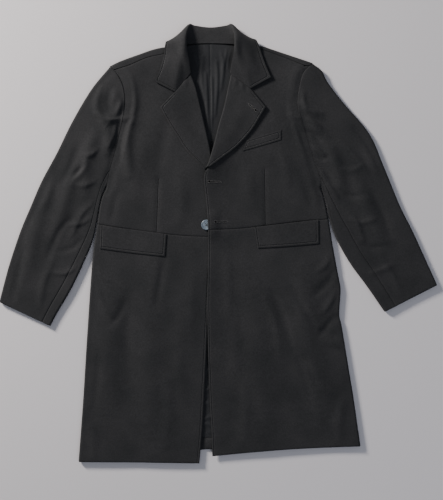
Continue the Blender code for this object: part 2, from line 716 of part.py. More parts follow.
def collar_half(side, columns, rows):
    """Half of the collar's middle surface: stand points and fall points for each section."""
    sign = side["sign"]
    top, _ = front_faces(side)
    which = 2 if side is RIGHT else 3

    def line(pick):
        points = []
        for section in COLLAR_SECTIONS:
            across, y, height = section[pick]
            x = NECK_CENTRE + sign * across
            points.append((x, y, top(x, y) + COLLAR_LAY if height is None else height))
        return np.array(points)

    stations = np.arange(len(COLLAR_SECTIONS), dtype=float)
    fine = np.linspace(0, stations[-1], columns + 1)

    def along(points):
        """The section points read at even steps, smoothly."""
        path = []
        last = len(points) - 1
        for place in fine:
            i = min(int(place), last - 1)
            t = place - i
            a = points[max(i - 1, 0)]
            b = points[i]
            c = points[i + 1]
            if i + 2 <= last:
                d = points[i + 2]
            else:
                d = points[i] if np.ndim(points) == 1 else points[i] * mirror + mirror_shift
            path.append(0.5 * (2 * b + (c - a) * t + (2 * a - 5 * b + 4 * c - d) * t ** 2
                               + (3 * b - a - 3 * c + d) * t ** 3))
        return np.array(path)

    mirror = np.array((-1.0, 1.0, 1.0))
    mirror_shift = np.array((2 * NECK_CENTRE, 0.0, 0.0))
    neck = along(line(0))
    roll = along(line(1))
    edge = along(line(which))
    turns = along(np.array([section[4] for section in COLLAR_SECTIONS], dtype=float))
    softness = along(np.array([section[5] for section in COLLAR_SECTIONS], dtype=float))
    end_line = Path((side["roll"][-1], side["notch"], side["collar_point"]))
    end_line = timed(end_line, end_line.shares, (0.0, 0.5, 1.0))
    stand = []
    fall = []
    for index in range(columns + 1):
        before = roll[max(index - 1, 0)]
        after = roll[index + 1] if index < columns else roll[index - 1] * mirror + mirror_shift
        forward = unit((after - before)[:2])
        outward = np.array((forward[1], -forward[0], 0.0)) * sign
        turn = math.radians(turns[index])
        tangent = outward * math.cos(turn) + np.array((0, 0, math.sin(turn)))
        handle = softness[index]
        n, r, f = neck[index], roll[index], edge[index]
        rise = np.array((0, 0, 1.0)) * 4 * ease(turns[index], -60, 60) + (r - n) * 0.3
        stand.append([bezier(n, n + rise, r - tangent * handle, r, t) for t in spaced(0.0, 1.0, rows)])
        toward = (f - r) * np.array((1, 1, 0.25))
        row = [bezier(r, r + tangent * handle * 1.3, f - toward * 0.45, f, t ** 1.5)
               for t in spaced(0.0, 1.0, 2 * rows)]
        fall.append(row)
    first = [point.copy() for point in fall[0]]
    ground = np.array([top(*end_line(s)) + COLLAR_LAY for s in spaced(0.0, 1.0, 2 * rows)])
    for index in range(columns + 1):
        fade = 1 - ease(index, 0, columns * COLLAR_FRONT_SHARE)
        for step, s in enumerate(spaced(0.0, 1.0, 2 * rows)):
            target = np.array((*end_line(s), ground[step]))
            if step == 0:
                continue
            shift = (target - first[step]) * fade
            shift[2] *= ease(step, 0, 2)
            fall[index][step] = fall[index][step] + shift
    return stand, fall


def build_collar(finish):
    """The collar, cut in one: a stand that rises from the neck seam and a fall turned over it."""
    right_stand, right_fall = collar_half(RIGHT, COLLAR_COLUMNS, COLLAR_ROWS)
    left_stand, left_fall = collar_half(LEFT, COLLAR_COLUMNS, COLLAR_ROWS)
    stand = np.array(right_stand + left_stand[::-1][1:])
    fall = np.array(right_fall + left_fall[::-1][1:])
    whole = np.concatenate((stand, fall[:, 1:]), axis=1)
    for row, neighbour in ((0, 1), (-1, -2)):
        step = whole[neighbour] - whole[row]
        whole[row] += step / np.linalg.norm(step, axis=1, keepdims=True) * COLLAR_SEAM_GAP
    normals = np.cross(np.gradient(whole, axis=0), np.gradient(whole, axis=1))
    normals *= COLLAR_CLOTH / 2 / np.linalg.norm(normals, axis=2, keepdims=True)
    outer = whole + normals
    inner = whole - normals
    outer[:, :, 2] = np.maximum(outer[:, :, 2], 0.0)
    inner[:, :, 2] = np.maximum(inner[:, :, 2], 0.0)
    wall("collar", outer.tolist(), inner.tolist(), finish)


def build_patch_on(name, side, corners, columns, rows, lay, finish):
    """A flap or welt: the front's own points within its outline, moved out."""
    top, _ = front_faces(side)
    a, b, c, d = (np.array(corner, dtype=float) for corner in corners)
    upper_rows = []
    lower_rows = []
    for v in spaced(0.0, 1.0, rows):
        upper_row = []
        lower_row = []
        for u in spaced(0.0, 1.0, columns):
            x, y = (a * (1 - u) + b * u) * (1 - v) + (d * (1 - u) + c * u) * v
            base = top(x, y) + lay
            upper_row.append((x, y, base + TRIM_CLOTH))
            lower_row.append((x, y, base))
        upper_rows.append(upper_row)
        lower_rows.append(lower_row)
    return wall(name, upper_rows, lower_rows, finish)


def disc(name, profile, sides, finish):
    """A turned piece about the Z axis, from (radius, height) points, both ends on the axis."""
    points = [(0.0, 0.0, profile[0][1]), (0.0, 0.0, profile[-1][1])]
    rings = profile[1:-1]
    for radius, height in rings:
        for step in range(sides):
            angle = 2 * math.pi * step / sides
            points.append((radius * math.cos(angle), radius * math.sin(angle), height))
    faces = []
    for step in range(sides):
        following = (step + 1) % sides
        faces.append((0, 2 + step, 2 + following))
        last = 2 + (len(rings) - 1) * sides
        faces.append((1, last + following, last + step))
        for ring in range(len(rings) - 1):
            low = 2 + ring * sides
            high = low + sides
            faces.append((low + step, high + step, high + following, low + following))
    return add_object(name, points, faces, finish)


def build_button(finish):
    """The four-hole button on the right front, half under the left front's edge."""
    radius = BUTTON_DIAMETER / 2
    rise = BUTTON_THICKNESS
    dish = rise - BUTTON_RIM_RISE
    profile = (
        (0, 0), (radius - 1.6, 0), (radius, 1.1), (radius, rise - 0.9), (radius - 0.8, rise),
        (radius - BUTTON_RIM, rise), (radius - BUTTON_RIM - 1.4, dish), (0, dish),
    )
    button = disc("button", profile, 28, finish)
    hole_profile = ((0, -2), (BUTTON_HOLE / 2, -2), (BUTTON_HOLE / 2, 8), (0, 8))
    for corner in range(4):
        angle = math.radians(45 + 90 * corner)
        reach = BUTTON_HOLE_SPACING / math.sqrt(2)
        hole = disc("hole_%d" % corner, hole_profile, 8, finish)
        hole.location = (reach * math.cos(angle) * MM, reach * math.sin(angle) * MM, 0)
        hole.hide_render = True
        hole.display_type = "WIRE"
        cut = button.modifiers.new("hole", "BOOLEAN")
        cut.operation = "DIFFERENCE"
        cut.object = hole
        hole.parent = button
    x, y = BUTTON_CENTRE
    button.location = (x * MM, y * MM, (coat_top(x, y) + 0.4) * MM)
    return button


def build_coat():
    for thing in list(bpy.data.objects):
        bpy.data.objects.remove(thing)
    wool = (CHARCOAL, 0.85)
    satin = (LINING_BLACK, 0.45)
    for side, word in ((RIGHT, "right"), (LEFT, "left")):
        back_face = build_back(side, "back_" + word, wool)
        build_lining(back_face, "lining_" + word, satin)
        build_front(side, "front_" + word, wool)
        build_skirt(side, "skirt_" + word, wool)
        build_sleeve(side, "top_sleeve_" + word, True, wool)
        build_sleeve(side, "under_sleeve_" + word, False, wool)
        build_lapel(side, "lapel_" + word, wool)
        build_patch_on("flap_" + word, side, side["flap"], 8, 3, 0.4, wool)
    build_patch_on("chest_welt", LEFT, WELT_CORNERS, 4, 1, 0.35, wool)
    build_collar(wool)
    build_button((HORN_BLUE, 0.35))


build_coat()
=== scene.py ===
import math

import bmesh
import bpy
import numpy as np
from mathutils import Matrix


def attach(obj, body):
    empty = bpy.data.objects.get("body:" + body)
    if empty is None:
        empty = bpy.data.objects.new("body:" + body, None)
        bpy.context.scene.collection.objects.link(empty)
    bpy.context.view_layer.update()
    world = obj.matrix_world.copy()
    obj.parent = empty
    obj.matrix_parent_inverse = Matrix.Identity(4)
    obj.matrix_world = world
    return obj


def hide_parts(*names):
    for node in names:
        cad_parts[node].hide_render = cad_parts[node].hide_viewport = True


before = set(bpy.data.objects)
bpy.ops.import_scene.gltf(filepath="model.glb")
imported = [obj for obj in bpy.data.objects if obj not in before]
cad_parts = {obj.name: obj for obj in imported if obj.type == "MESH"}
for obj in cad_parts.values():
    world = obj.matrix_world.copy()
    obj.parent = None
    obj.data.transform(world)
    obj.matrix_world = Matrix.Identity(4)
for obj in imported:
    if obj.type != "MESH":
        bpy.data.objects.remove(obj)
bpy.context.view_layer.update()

# A wool overcoat laid flat on its back, front side up, unbuttoned. Right and left are the wearer's.
# X runs to the wearer's left, Y from hem to collar, Z up from the floor. Sizes are in millimetres
# and meshes are written in metres.


# BACK
# Two panels of black wool gabardine, seamed down the centre of the back. Each comes over the
# shoulder to the shoulder seam, and its hem is turned up and pressed. It lies flat on the floor.
MM = 0.001
BACK_CLOTH = 3.0
FRONT_CLOTH = 3.0
PADDING_SHARE = 0.85
EDGE_STITCH_INSET = 5.0
NO_STITCHES_NEAR = 99.0
UPPER_LAYER_TOP = 9.4
DEEPEST_FOLD = -2.7
SEAM_GAP = 0.3
SHOULDER_SEAM_GAP = 0.35
TURN_CLEARANCE = 0.2
HEM_TURN_DEPTH = 29.0
HEM_TURN_RISE = 1.3
HEM_TURN_STEP = 0.0012
BACK_COLUMNS = 44
BACK_ROWS = 104
SHOULDER_ROWS = 4
SHOULDER_TURN_STEPS = 12
SHARP_EDGE = 50
CREASE_CLEAR_OF_SIDE = (6.0, 30.0)

# The neck, and how high the collar beneath lifts the back there
NECK_CENTRE = -19.0
NECK_LIFT = 2.9
NECK_LIFT_HEIGHTS = (425.0, 462.0)
NECK_LIFT_WIDTH = (94.0, 122.0)
SHOULDER_WRAP = (96.0, 116.0)
NECK_EDGE_FLAT = 2.1
SIDE_SEAM_GAP = 1.0

# A side turns all the way under below the first of these heights, and not above the second
SIDE_TURN_HEIGHTS = (105.0, 150.0)

# Outlines of the back, seen from above: hem, side fold to the waist and to the underarm, armhole,
# shoulder's outer corner, shoulder seam, and the neck and shoulder line
SIDES = {
    "right": {
        "sign": -1,
        "back_hem": ((-8, -496), (-45, -497), (-166, -508), (-263, -520), (-334, -522)),
        "side_low": ((-338, -526), (-327, -378), (-318, -232), (-305, -46), (-293, 48)),
        "side_high": ((-293, 48), (-284, 104), (-270, 143)),
        "armhole": ((-270, 143), (-263, 176), (-252, 215), (-240, 262), (-230, 305), (-225, 345),
                    (-229, 378), (-239, 402), (-252, 420)),
        "shoulder_point": (-262, 428),
        "shoulder_seam": ((-104, 464), (-131, 459), (-172, 450), (-217, 431), (-252, 420)),
        "back_top": ((-21, 484), (-57, 482), (-90, 476), (-112, 472), (-130, 475), (-159, 469),
                     (-190, 458), (-238, 440), (-262, 428)),
    },
    "left": {
        "sign": 1,
        "back_hem": ((-8, -496), (100, -494), (197, -491), (338, -484)),
        "side_low": ((343, -488), (326, -370), (310, -273), (298, -200), (292, -169), (295, -111),
                     (290, -79), (278, -15), (266, 60)),
        "side_high": ((266, 60), (256, 106), (248, 138)),
        "armhole": ((248, 138), (244, 163), (234, 192), (212, 258), (197, 302), (190, 335),
                    (193, 372), (203, 410), (219, 430)),
        "shoulder_point": (227, 436),
        "shoulder_seam": ((66, 470), (98, 471), (154, 452), (206, 431), (219, 430)),
        "back_top": ((-21, 484), (16, 482), (48, 477), (74, 474), (100, 478), (137, 467),
                     (178, 453), (227, 436)),
    },
}

# Padding and canvas that fill the coat out: centre x, centre y, reach in x, reach in y, height
FILLED_PLACES = (
    (-140, 310, 75, 110, 2.2),
    (105, 310, 75, 110, 2.2),
    (-232, 400, 45, 50, 2.6),
    (205, 405, 45, 50, 2.6),
    (-262, 330, 40, 80, 1.6),
    (225, 330, 40, 80, 1.6),
)

# Folds of the upper layer: start x, y, middle x, y, end x, y, half width, height, lean.
# A trough has a height below nothing, and a leaning fold is steeper on its one side.
FOLDS = (
    # right armhole and sleeve head
    (-216, 396, -208, 345, -212, 296, 13, 7.2, 0.0),
    (-214, 296, -222, 240, -214, 168, 14, 6.5, 0.0),
    (-250, 362, -238, 335, -262, 292, 11, 5.8, 0.4),
    (-258, 372, -266, 338, -253, 308, 8, -3.0, 0.0),
    (-286, 374, -293, 332, -278, 296, 9, 3.5, 0.0),
    (-292, 314, -262, 299, -232, 303, 6, 3.8, 0.6),
    (-232, 288, -237, 242, -240, 196, 6, -3.0, 0.0),
    (-276, 290, -264, 262, -268, 222, 12, 4.3, 0.0),
    (-246, 290, -250, 262, -262, 236, 5, 2.3, 0.5),
    (-234, 318, -243, 262, -257, 196, 7, -3.0, 0.5),
    (-240, 350, -248, 326, -250, 300, 8, -3.0, 0.0),
    (-228, 276, -229, 262, -231, 246, 4, 2.6, 0.0),
    (-256, 190, -266, 160, -276, 120, 7, -2.8, 0.4),
    # right sleeve
    (-322, 190, -334, 178, -348, 166, 6, -2.8, 0.4),
    (-292, 226, -306, 214, -326, 212, 6, 2.4, 0.4),
    (-300, 150, -322, 140, -350, 142, 7, 2.2, 0.3),
    (-310, 60, -332, 48, -362, 44, 6, 1.8, 0.4),
    (-330, 10, -352, -10, -380, -18, 7, -1.8, 0.3),
    (-346, -60, -372, -72, -402, -70, 6, 1.8, 0.4),
    (-402, 150, -410, 118, -424, 84, 10, 2.4, 0.0),
    (-300, 262, -318, 200, -322, 120, 16, 4.3, 0.0),
    (-352, 150, -331, 171, -318, 204, 7, 2.9, 0.5),
    (-340, 232, -352, 196, -374, 150, 9, -2.3, 0.0),
    (-352, 180, -372, 96, -398, 20, 18, 4.2, 0.0),
    (-306, 96, -330, 70, -352, 22, 8, 2.3, 0.4),
    (-356, 60, -384, 30, -410, -30, 8, -2.0, 0.0),
    (-420, 90, -448, 10, -462, -70, 18, 3.4, 0.0),
    (-398, -40, -420, -92, -430, -150, 9, 1.9, 0.3),
    (-470, -20, -484, -80, -496, -130, 9, -1.7, 0.0),
    # left armhole and sleeve head
    (186, 322, 200, 262, 217, 220, 12, 5.8, 0.0),
    (206, 338, 222, 322, 246, 312, 10, 5.1, 0.4),
    (204, 364, 205, 342, 212, 318, 6, 2.3, 0.0),
    (202, 306, 222, 298, 246, 282, 6, 3.5, 0.5),
    (219, 292, 236, 276, 256, 264, 10, 4.3, 0.0),
    (212, 272, 226, 266, 244, 250, 5, -2.9, 0.0),
    (226, 236, 242, 226, 262, 204, 6, 2.6, 0.5),
    (236, 196, 256, 178, 276, 150, 6, -2.3, 0.0),
    (200, 300, 220, 230, 246, 150, 7, -3.0, -0.4),
    (246, 150, 254, 122, 262, 90, 6, -2.6, -0.4),
    # left sleeve
    (238, 214, 250, 206, 264, 208, 6, -2.6, 0.0),
    (264, 142, 275, 130, 288, 114, 5, 2.6, 0.4),
    (300, 180, 322, 178, 346, 190, 7, 2.2, 0.4),
    (296, 128, 320, 116, 350, 118, 6, -2.0, 0.3),
    (322, 60, 346, 52, 376, 60, 6, 2.0, 0.4),
    (350, 0, 372, -8, 404, -4, 7, -1.9, 0.3),
    (368, -70, 392, -62, 420, -50, 7, 1.9, 0.4),
    (352, 232, 364, 206, 384, 176, 10, 2.4, 0.0),
    (262, 250, 284, 190, 300, 130, 16, 4.3, 0.0),
    (292, 242, 324, 216, 356, 176, 10, 2.6, 0.4),
    (330, 278, 352, 254, 368, 224, 7, -2.2, 0.0),
    (330, 160, 362, 80, 396, 4, 18, 4.2, 0.0),
    (300, 88, 330, 58, 350, 10, 8, 2.2, 0.4),
    (372, 120, 396, 76, 414, 24, 9, -1.9, 0.0),
    (392, -30, 420, -76, 440, -116, 9, 1.9, 0.3),
    # fronts
    (-120, 296, -138, 226, -147, 150, 15, -2.2, 0.0),
    (-178, 250, -190, 190, -200, 120, 18, 2.0, 0.0),
    (-92, 168, -86, 110, -92, 52, 14, 1.6, 0.0),
    (-244, 120, -252, 90, -258, 56, 8, -1.4, 0.0),
    (60, 214, 74, 160, 76, 96, 16, 1.6, 0.0),
    (150, 226, 164, 180, 168, 122, 13, 1.7, 0.0),
    (196, 172, 212, 136, 224, 92, 10, -1.7, 0.0),
    # skirts
    (178, -108, 204, -150, 232, -196, 8, -2.6, 0.3),
    (246, -206, 268, -214, 290, -226, 6, -2.4, 0.4),
    (252, -228, 272, -238, 296, -250, 7, 2.4, 0.4),
    (188, -262, 206, -310, 222, -360, 10, -2.2, 0.0),
    (-226, -140, -240, -172, -262, -196, 9, -2.0, 0.3),
    (-290, -110, -276, -150, -256, -176, 8, 2.2, 0.3),
    (-60, -60, -66, -140, -62, -220, 14, 1.6, 0.0),
    (20, -40, 26, -100, 22, -160, 13, 1.5, 0.0),
    (-290, -60, -280, -76, -262, -92, 6, 1.8, 0.4),
    (272, -30, 258, -52, 240, -66, 7, 2.0, 0.4),
    (-120, -330, -118, -400, -126, -480, 15, 2.0, 0.0),
    (60, -330, 66, -400, 60, -470, 15, 1.9, 0.0),
    (300, -380, 290, -430, 292, -470, 12, 2.2, 0.0),
    (-310, -440, -300, -480, -302, -510, 11, 1.8, 0.0),
    (-250, -80, -262, -240, -268, -420, 30, 3.7, 0.0),
    (-131, -36, -140, -90, -150, -150, 9, -2.2, 0.0),
    (-150, -60, -170, -260, -160, -500, 34, 3.1, 0.0),
    (-214, -120, -222, -230, -210, -330, 14, -1.4, 0.0),
    (-88, -140, -94, -280, -84, -400, 16, 1.3, 0.0),
    (-286, -260, -292, -330, -300, -400, 9, -1.4, 0.0),
    (70, -60, 92, -260, 110, -470, 34, 3.4, 0.0),
    (132, -118, 158, -180, 180, -256, 9, -2.8, 0.3),
    (112, -130, 136, -190, 150, -262, 10, 1.9, 0.0),
    (196, -40, 214, -220, 250, -430, 30, 4.1, 0.0),
    (206, -274, 224, -310, 238, -342, 8, -2.2, 0.0),
    (284, -68, 262, -96, 236, -122, 9, -2.9, 0.4),
    (288, -112, 270, -142, 252, -166, 8, 2.2, 0.4),
    (290, -176, 272, -186, 250, -214, 7, -2.3, 0.0),
    (30, -150, 40, -260, 34, -360, 16, 1.3, 0.0),
)

# Creases of the back's underside, pressed by its own weight: same columns
UNDERSIDE_CREASES = (
    (-60, -60, -76, -220, -70, -400, 14, 0.9, 0.0),
    (-180, 60, -196, -120, -214, -330, 16, 1.0, 0.2),
    (70, -30, 86, -210, 96, -420, 15, 0.9, 0.0),
    (190, 40, 204, -140, 226, -340, 14, 1.0, 0.2),
    (-230, 330, -170, 300, -110, 312, 12, 1.0, 0.3),
    (190, 336, 140, 306, 84, 318, 12, 1.0, 0.3),
    (-210, 130, -150, 96, -96, 100, 11, 0.8, 0.0),
    (190, 120, 130, 90, 76, 96, 11, 0.8, 0.0),
)


class Path:
    """A line through points, walked at an even pace from 0 to 1; shares are its points' places."""

    def __init__(self, points):
        self.points = np.array(points, dtype=float)
        steps = np.linalg.norm(np.diff(self.points, axis=0), axis=1)
        walked = np.concatenate(((0.0,), np.cumsum(steps)))
        self.length = walked[-1]
        self.shares = walked / self.length

    def __call__(self, t):
        return np.stack([np.interp(t, self.shares, axis) for axis in self.points.T], axis=-1)


CURVE_SAMPLES = 24
FOLD_STEPS = 25
FOLD_REACH = 3.5


def curve_through(points, before, after, places):
    """A smooth curve through points, read at places counted in points.

    before and after are the points that would come before the first and after the last.
    """
    ends = np.concatenate(([before], points, [after]))
    low = np.minimum(places.astype(int), len(points) - 2)
    t = (places - low).reshape((-1,) + (1,) * (np.ndim(points) - 1))
    a, b, c, d = (ends[low + step] for step in range(4))
    line = 2 * b + (c - a) * t + (2 * a - 5 * b + 4 * c - d) * t ** 2
    return 0.5 * (line + (3 * b - a - 3 * c + d) * t ** 3)


def smooth_path(points):
    """A smooth curve through the points."""
    points = np.array(points, dtype=float)
    places = np.linspace(0, len(points) - 1, CURVE_SAMPLES * (len(points) - 1) + 1)
    return Path(curve_through(points, 2 * points[0] - points[1], 2 * points[-1] - points[-2], places))


def joined_path(*paths):
    """Several paths walked one after another; joints are the places where they meet."""
    points = list(paths[0].points)
    for path in paths[1:]:
        points.extend(path.points[1:])
    whole = Path(points)
    lengths = np.cumsum([0.0] + [path.length for path in paths])
    whole.joints = lengths / lengths[-1]
    return whole


def patch(start, end, first, last):
    """The flat region between four curves: start and end run along v, first and last along u."""
    corner = np.array([[first(0.0), last(0.0)], [first(1.0), last(1.0)]])

    def at(u, v):
        u, v = np.broadcast_arrays(np.asarray(u, float), np.asarray(v, float))
        across = (1 - v)[..., None] * first(u) + v[..., None] * last(u)
        along = (1 - u)[..., None] * start(v) + u[..., None] * end(v)
        low = (1 - v)[..., None] * corner[0, 0] + v[..., None] * corner[0, 1]
        high = (1 - v)[..., None] * corner[1, 0] + v[..., None] * corner[1, 1]
        return across + along - (1 - u)[..., None] * low - u[..., None] * high

    return at


def ease(value, low, high):
    """0 below low, 1 above high, and a smooth step between."""
    t = np.clip((value - low) / (high - low), 0.0, 1.0)
    return t * t * (3 - 2 * t)


def unit(vectors):
    return vectors / np.linalg.norm(vectors, axis=-1, keepdims=True)


def fold_heights(table, x, y):
    """How far the folds of a table raise the cloth at each place."""
    flat_x = np.ravel(x)
    flat_y = np.ravel(y)
    total = np.zeros(len(flat_x))
    for ax, ay, bx, by, cx, cy, width, height, lean in table:
        line = smooth_path(((ax, ay), (bx, by), (cx, cy)))(np.linspace(0, 1, FOLD_STEPS))
        ways = unit(np.gradient(line, axis=0))
        low = line.min(axis=0) - FOLD_REACH * width
        high = line.max(axis=0) + FOLD_REACH * width
        inside = np.flatnonzero((flat_x > low[0]) & (flat_x < high[0])
                                & (flat_y > low[1]) & (flat_y < high[1]))
        gap_x = flat_x[inside, None] - line[:, 0]
        gap_y = flat_y[inside, None] - line[:, 1]
        nearest = np.argmin(gap_x ** 2 + gap_y ** 2, axis=1)
        rows = np.arange(len(inside))
        dx = gap_x[rows, nearest]
        dy = gap_y[rows, nearest]
        onward = dx * ways[nearest, 0] + dy * ways[nearest, 1]
        beside = dx * ways[nearest, 1] - dy * ways[nearest, 0]
        at_end = (nearest == 0) & (onward < 0) | (nearest == len(line) - 1) & (onward > 0)
        away = np.where(at_end, np.hypot(dx, dy), np.abs(beside))
        reach = width * np.where(beside > 0, 1 + 0.5 * lean, 1 - 0.5 * lean)
        taper = np.sin(np.pi * (0.12 + 0.76 * nearest / (len(line) - 1))) ** 0.8
        total[inside] += height * taper * np.exp(-(away / reach) ** 2)
    return total.reshape(np.shape(x))


def fullness(x, y):
    """How far padding and canvas raise the coat at a place."""
    total = 0.0
    for centre_x, centre_y, reach_x, reach_y, height in FILLED_PLACES:
        away = ((x - centre_x) / reach_x) ** 2 + ((y - centre_y) / reach_y) ** 2
        total = total + height * np.exp(-away)
    return total


def coat_top(x, y):
    """Height of the upper face of the fronts and sleeves."""
    soft = 0.35 * np.sin(x / 37.0 + y / 61.0) + 0.25 * np.sin(x / 23.0 - y / 47.0 + 1.3)
    folds = fold_heights(FOLDS, x, y)
    folds = np.where(folds < 0, DEEPEST_FOLD * np.tanh(folds / DEEPEST_FOLD), folds)
    return UPPER_LAYER_TOP + fullness(x, y) + folds + soft


def coat_under(x, y):
    """Height of the under face of the fronts and sleeves, thicker where they are padded."""
    return coat_top(x, y) - FRONT_CLOTH - PADDING_SHARE * fullness(x, y)


def floor_height(x, y):
    """How far the collar beneath lifts the back and its lining."""
    across = np.abs(x - NECK_CENTRE)
    return NECK_LIFT * ease(y, *NECK_LIFT_HEIGHTS) * (1 - ease(across, *NECK_LIFT_WIDTH))


def with_height(places, heights):
    return np.concatenate((places, np.asarray(heights)[..., None]), axis=-1)


def turned_edge(edge, inward, mid, half, end_mid, end_half, turn, steps):
    """Cloth that turns over an edge: how far in it starts, and its outer and inner points."""
    radius = np.maximum(np.abs(mid - end_mid) / 2, 0.4)
    way = np.where(end_mid < mid, -1.0, 1.0)
    turn = np.maximum(turn, 0.02)
    bend = np.minimum(np.pi * radius / turn, 2 * radius / (1 - np.cos(turn)))
    reach = np.where(turn >= np.pi / 2, bend + half, (bend + half) * np.sin(turn))
    share = np.arange(1, steps + 1) / steps
    angle = turn[:, None] * share
    thick = half[:, None] + (end_half - half)[:, None] * share
    inset = reach[:, None] - bend[:, None] * np.sin(angle)
    place = edge[:, None] + inward[:, None] * inset[..., None]
    height = mid[:, None] + way[:, None] * bend[:, None] * (1 - np.cos(angle))
    sideways = inward[:, None] * (thick * np.sin(angle))[..., None]
    upward = -way[:, None] * thick * np.cos(angle)
    outer = with_height(place - sideways, height + upward)
    inner = with_height(place + sideways, height - upward)
    return reach, outer, inner


# A cut edge of cloth is rounded: share of the thickness taken off in each row in from it
RIM_ROUNDING = (0.33, 0.12, 0.03, 0.0)


def rounded_rims(outer, inner, rims="udlr"):
    """Rounds the cut edges of a wall of cloth: u and d are its last and first rows."""
    weight = np.zeros(outer.shape[:2])
    for step, share in enumerate(RIM_ROUNDING):
        for letter, place in (("d", (step, slice(None))), ("u", (-1 - step, slice(None))),
                              ("l", (slice(None), step)), ("r", (slice(None), -1 - step))):
            if letter in rims:
                weight[place] = np.maximum(weight[place], share)
    shift = (inner - outer) * weight[..., None]
    return outer + shift, inner - shift


def walked(points, axis):
    """Distance along a grid's rows or columns from its first point."""
    steps = np.linalg.norm(np.diff(points, axis=axis), axis=-1)
    first = np.zeros_like(np.take(steps, [0], axis=axis))
    return np.concatenate((first, np.cumsum(steps, axis=axis)), axis=axis)


def placed(name, data):
    """A new object in the scene."""
    made = bpy.data.objects.new(name, data)
    bpy.context.scene.collection.objects.link(made)
    return made


def cloth_wall(name, outer, inner, grain, stitched=None, beside=None, past=None):
    """A closed wall of cloth between two grids of points.

    grain is the cloth's own coordinates at each point. The cloth's finish reads the distance to a
    stitched edge, the distance beside a dart and the distance past the dart's end.
    """
    rows, columns = outer.shape[:2]
    index = np.arange(rows * columns).reshape(rows, columns)
    low = index[:-1, :-1].ravel()
    faces = np.column_stack((low, low + 1, low + columns + 1, low + columns))
    under = faces[:, ::-1] + rows * columns
    rim = np.concatenate((index[0, :], index[1:, -1], index[-1, -2::-1], index[-2:0:-1, 0]))
    following = np.roll(rim, -1)
    sides = np.column_stack((following, rim, rim + rows * columns, following + rows * columns))
    faces = np.vstack((faces, under, sides))
    points = np.concatenate((outer.reshape(-1, 3), inner.reshape(-1, 3))) * MM
    a, b, c, d = (points[faces[:, corner]] for corner in range(4))
    volume = np.sum(a * (np.cross(b, c) + np.cross(c, d)))
    if volume < 0:
        faces = faces[:, ::-1]
    mesh = bpy.data.meshes.new(name)
    mesh.from_pydata(points.tolist(), [], faces.tolist())
    mesh.update()
    mesh.shade_smooth()
    mesh.set_sharp_from_angle(angle=math.radians(SHARP_EDGE))
    doubled = np.concatenate((grain.reshape(-1, 2), grain.reshape(-1, 2))) * MM
    layer = mesh.uv_layers.new(name="grain")
    corners = np.empty(len(mesh.loops), dtype=np.int64)
    mesh.loops.foreach_get("vertex_index", corners)
    layer.data.foreach_set("uv", doubled[corners].astype(np.float32).ravel())
    for label, values in (("stitched_mm", stitched), ("dart_mm", beside), ("past_dart_mm", past)):
        values = np.full((rows, columns), NO_STITCHES_NEAR) if values is None else values
        values = np.concatenate((values.ravel(), np.full(rows * columns, NO_STITCHES_NEAR)))
        attribute = mesh.attributes.new(label, "FLOAT", "POINT")
        attribute.data.foreach_set("value", values.astype(np.float32))
    return placed(name, mesh)


def hex_colour(text):
    """An sRGB hex colour as linear values."""
    values = [int(text[place:place + 2], 16) / 255 for place in (0, 2, 4)]
    return (*(v / 12.92 if v <= 0.04045 else ((v + 0.055) / 1.055) ** 2.4 for v in values), 1.0)


def add_node(tree, kind, settings):
    """Adds a node. A setting is a property, an input's value or the output that feeds the input."""
    node = tree.nodes.new(kind)
    for name, value in settings.items():
        if isinstance(value, bpy.types.NodeSocket):
            tree.links.new(value, node.inputs[name])
        elif isinstance(name, str) and hasattr(node, name):
            setattr(node, name, value)
        else:
            node.inputs[name].default_value = value
    return node


def new_finish(name):
    """A material and its tree, emptied."""
    made = bpy.data.materials.new(name)
    made.use_nodes = True
    made.node_tree.nodes.clear()
    return made, made.node_tree


def surface(tree, settings):
    """Ends a finish with one shader and the material's output."""
    shader = add_node(tree, "ShaderNodeBsdfPrincipled", settings)
    add_node(tree, "ShaderNodeOutputMaterial", {"Surface": shader.outputs["BSDF"]})


def object_noise(tree, settings, stretch=(1.0, 1.0, 1.0), turn=0.0):
    """Noise that stays with the piece, at scales given in repeats a metre."""
    place = add_node(tree, "ShaderNodeTexCoord", {})
    stretched = add_node(tree, "ShaderNodeMapping",
                         {"Vector": place.outputs["Object"], "Scale": stretch,
                          "Rotation": (0.0, 0.0, turn)})
    made = add_node(tree, "ShaderNodeTexNoise", {**settings, "Vector": stretched.outputs["Vector"]})
    return made.outputs["Fac"]


def two_tones(tree, factor, low, high):
    """A colour that goes from one tone to another; each is a place of the factor and a colour."""
    ramp = add_node(tree, "ShaderNodeValToRGB", {"Fac": factor})
    for element, (place, tone) in zip(ramp.color_ramp.elements, (low, high)):
        element.position = place
        element.color = hex_colour(tone)
    return ramp.outputs["Color"]


def soft_groove(tree, distance, width):
    """0 on a line and 1 at a width in mm from it; the distance may be less than 0 on one side."""
    away = add_node(tree, "ShaderNodeMath", {"operation": "ABSOLUTE", 0: distance})
    groove = add_node(tree, "ShaderNodeMapRange",
                      {"interpolation_type": "SMOOTHSTEP", "Value": away.outputs["Value"],
                       "From Min": 0.0, "From Max": width, "To Min": 0.0, "To Max": 1.0})
    return groove.outputs["Result"]


# Wool gabardine: worsted wool in a steep twill, pressed flat and then brushed a little, so it is
# near black and matt, with a soft grey sheen on raised folds, a fine slanting line and short nap.
# The real wale is 0.9 mm apart; it is drawn 2.2 mm apart so that it shows.
TWILL_WALE = 2.2
TWILL_SLOPE = 58.0
NAP_GRAIN = 1.1
TUFT_GRAIN = 3.2
GROOVE_DEPTH = 1.3


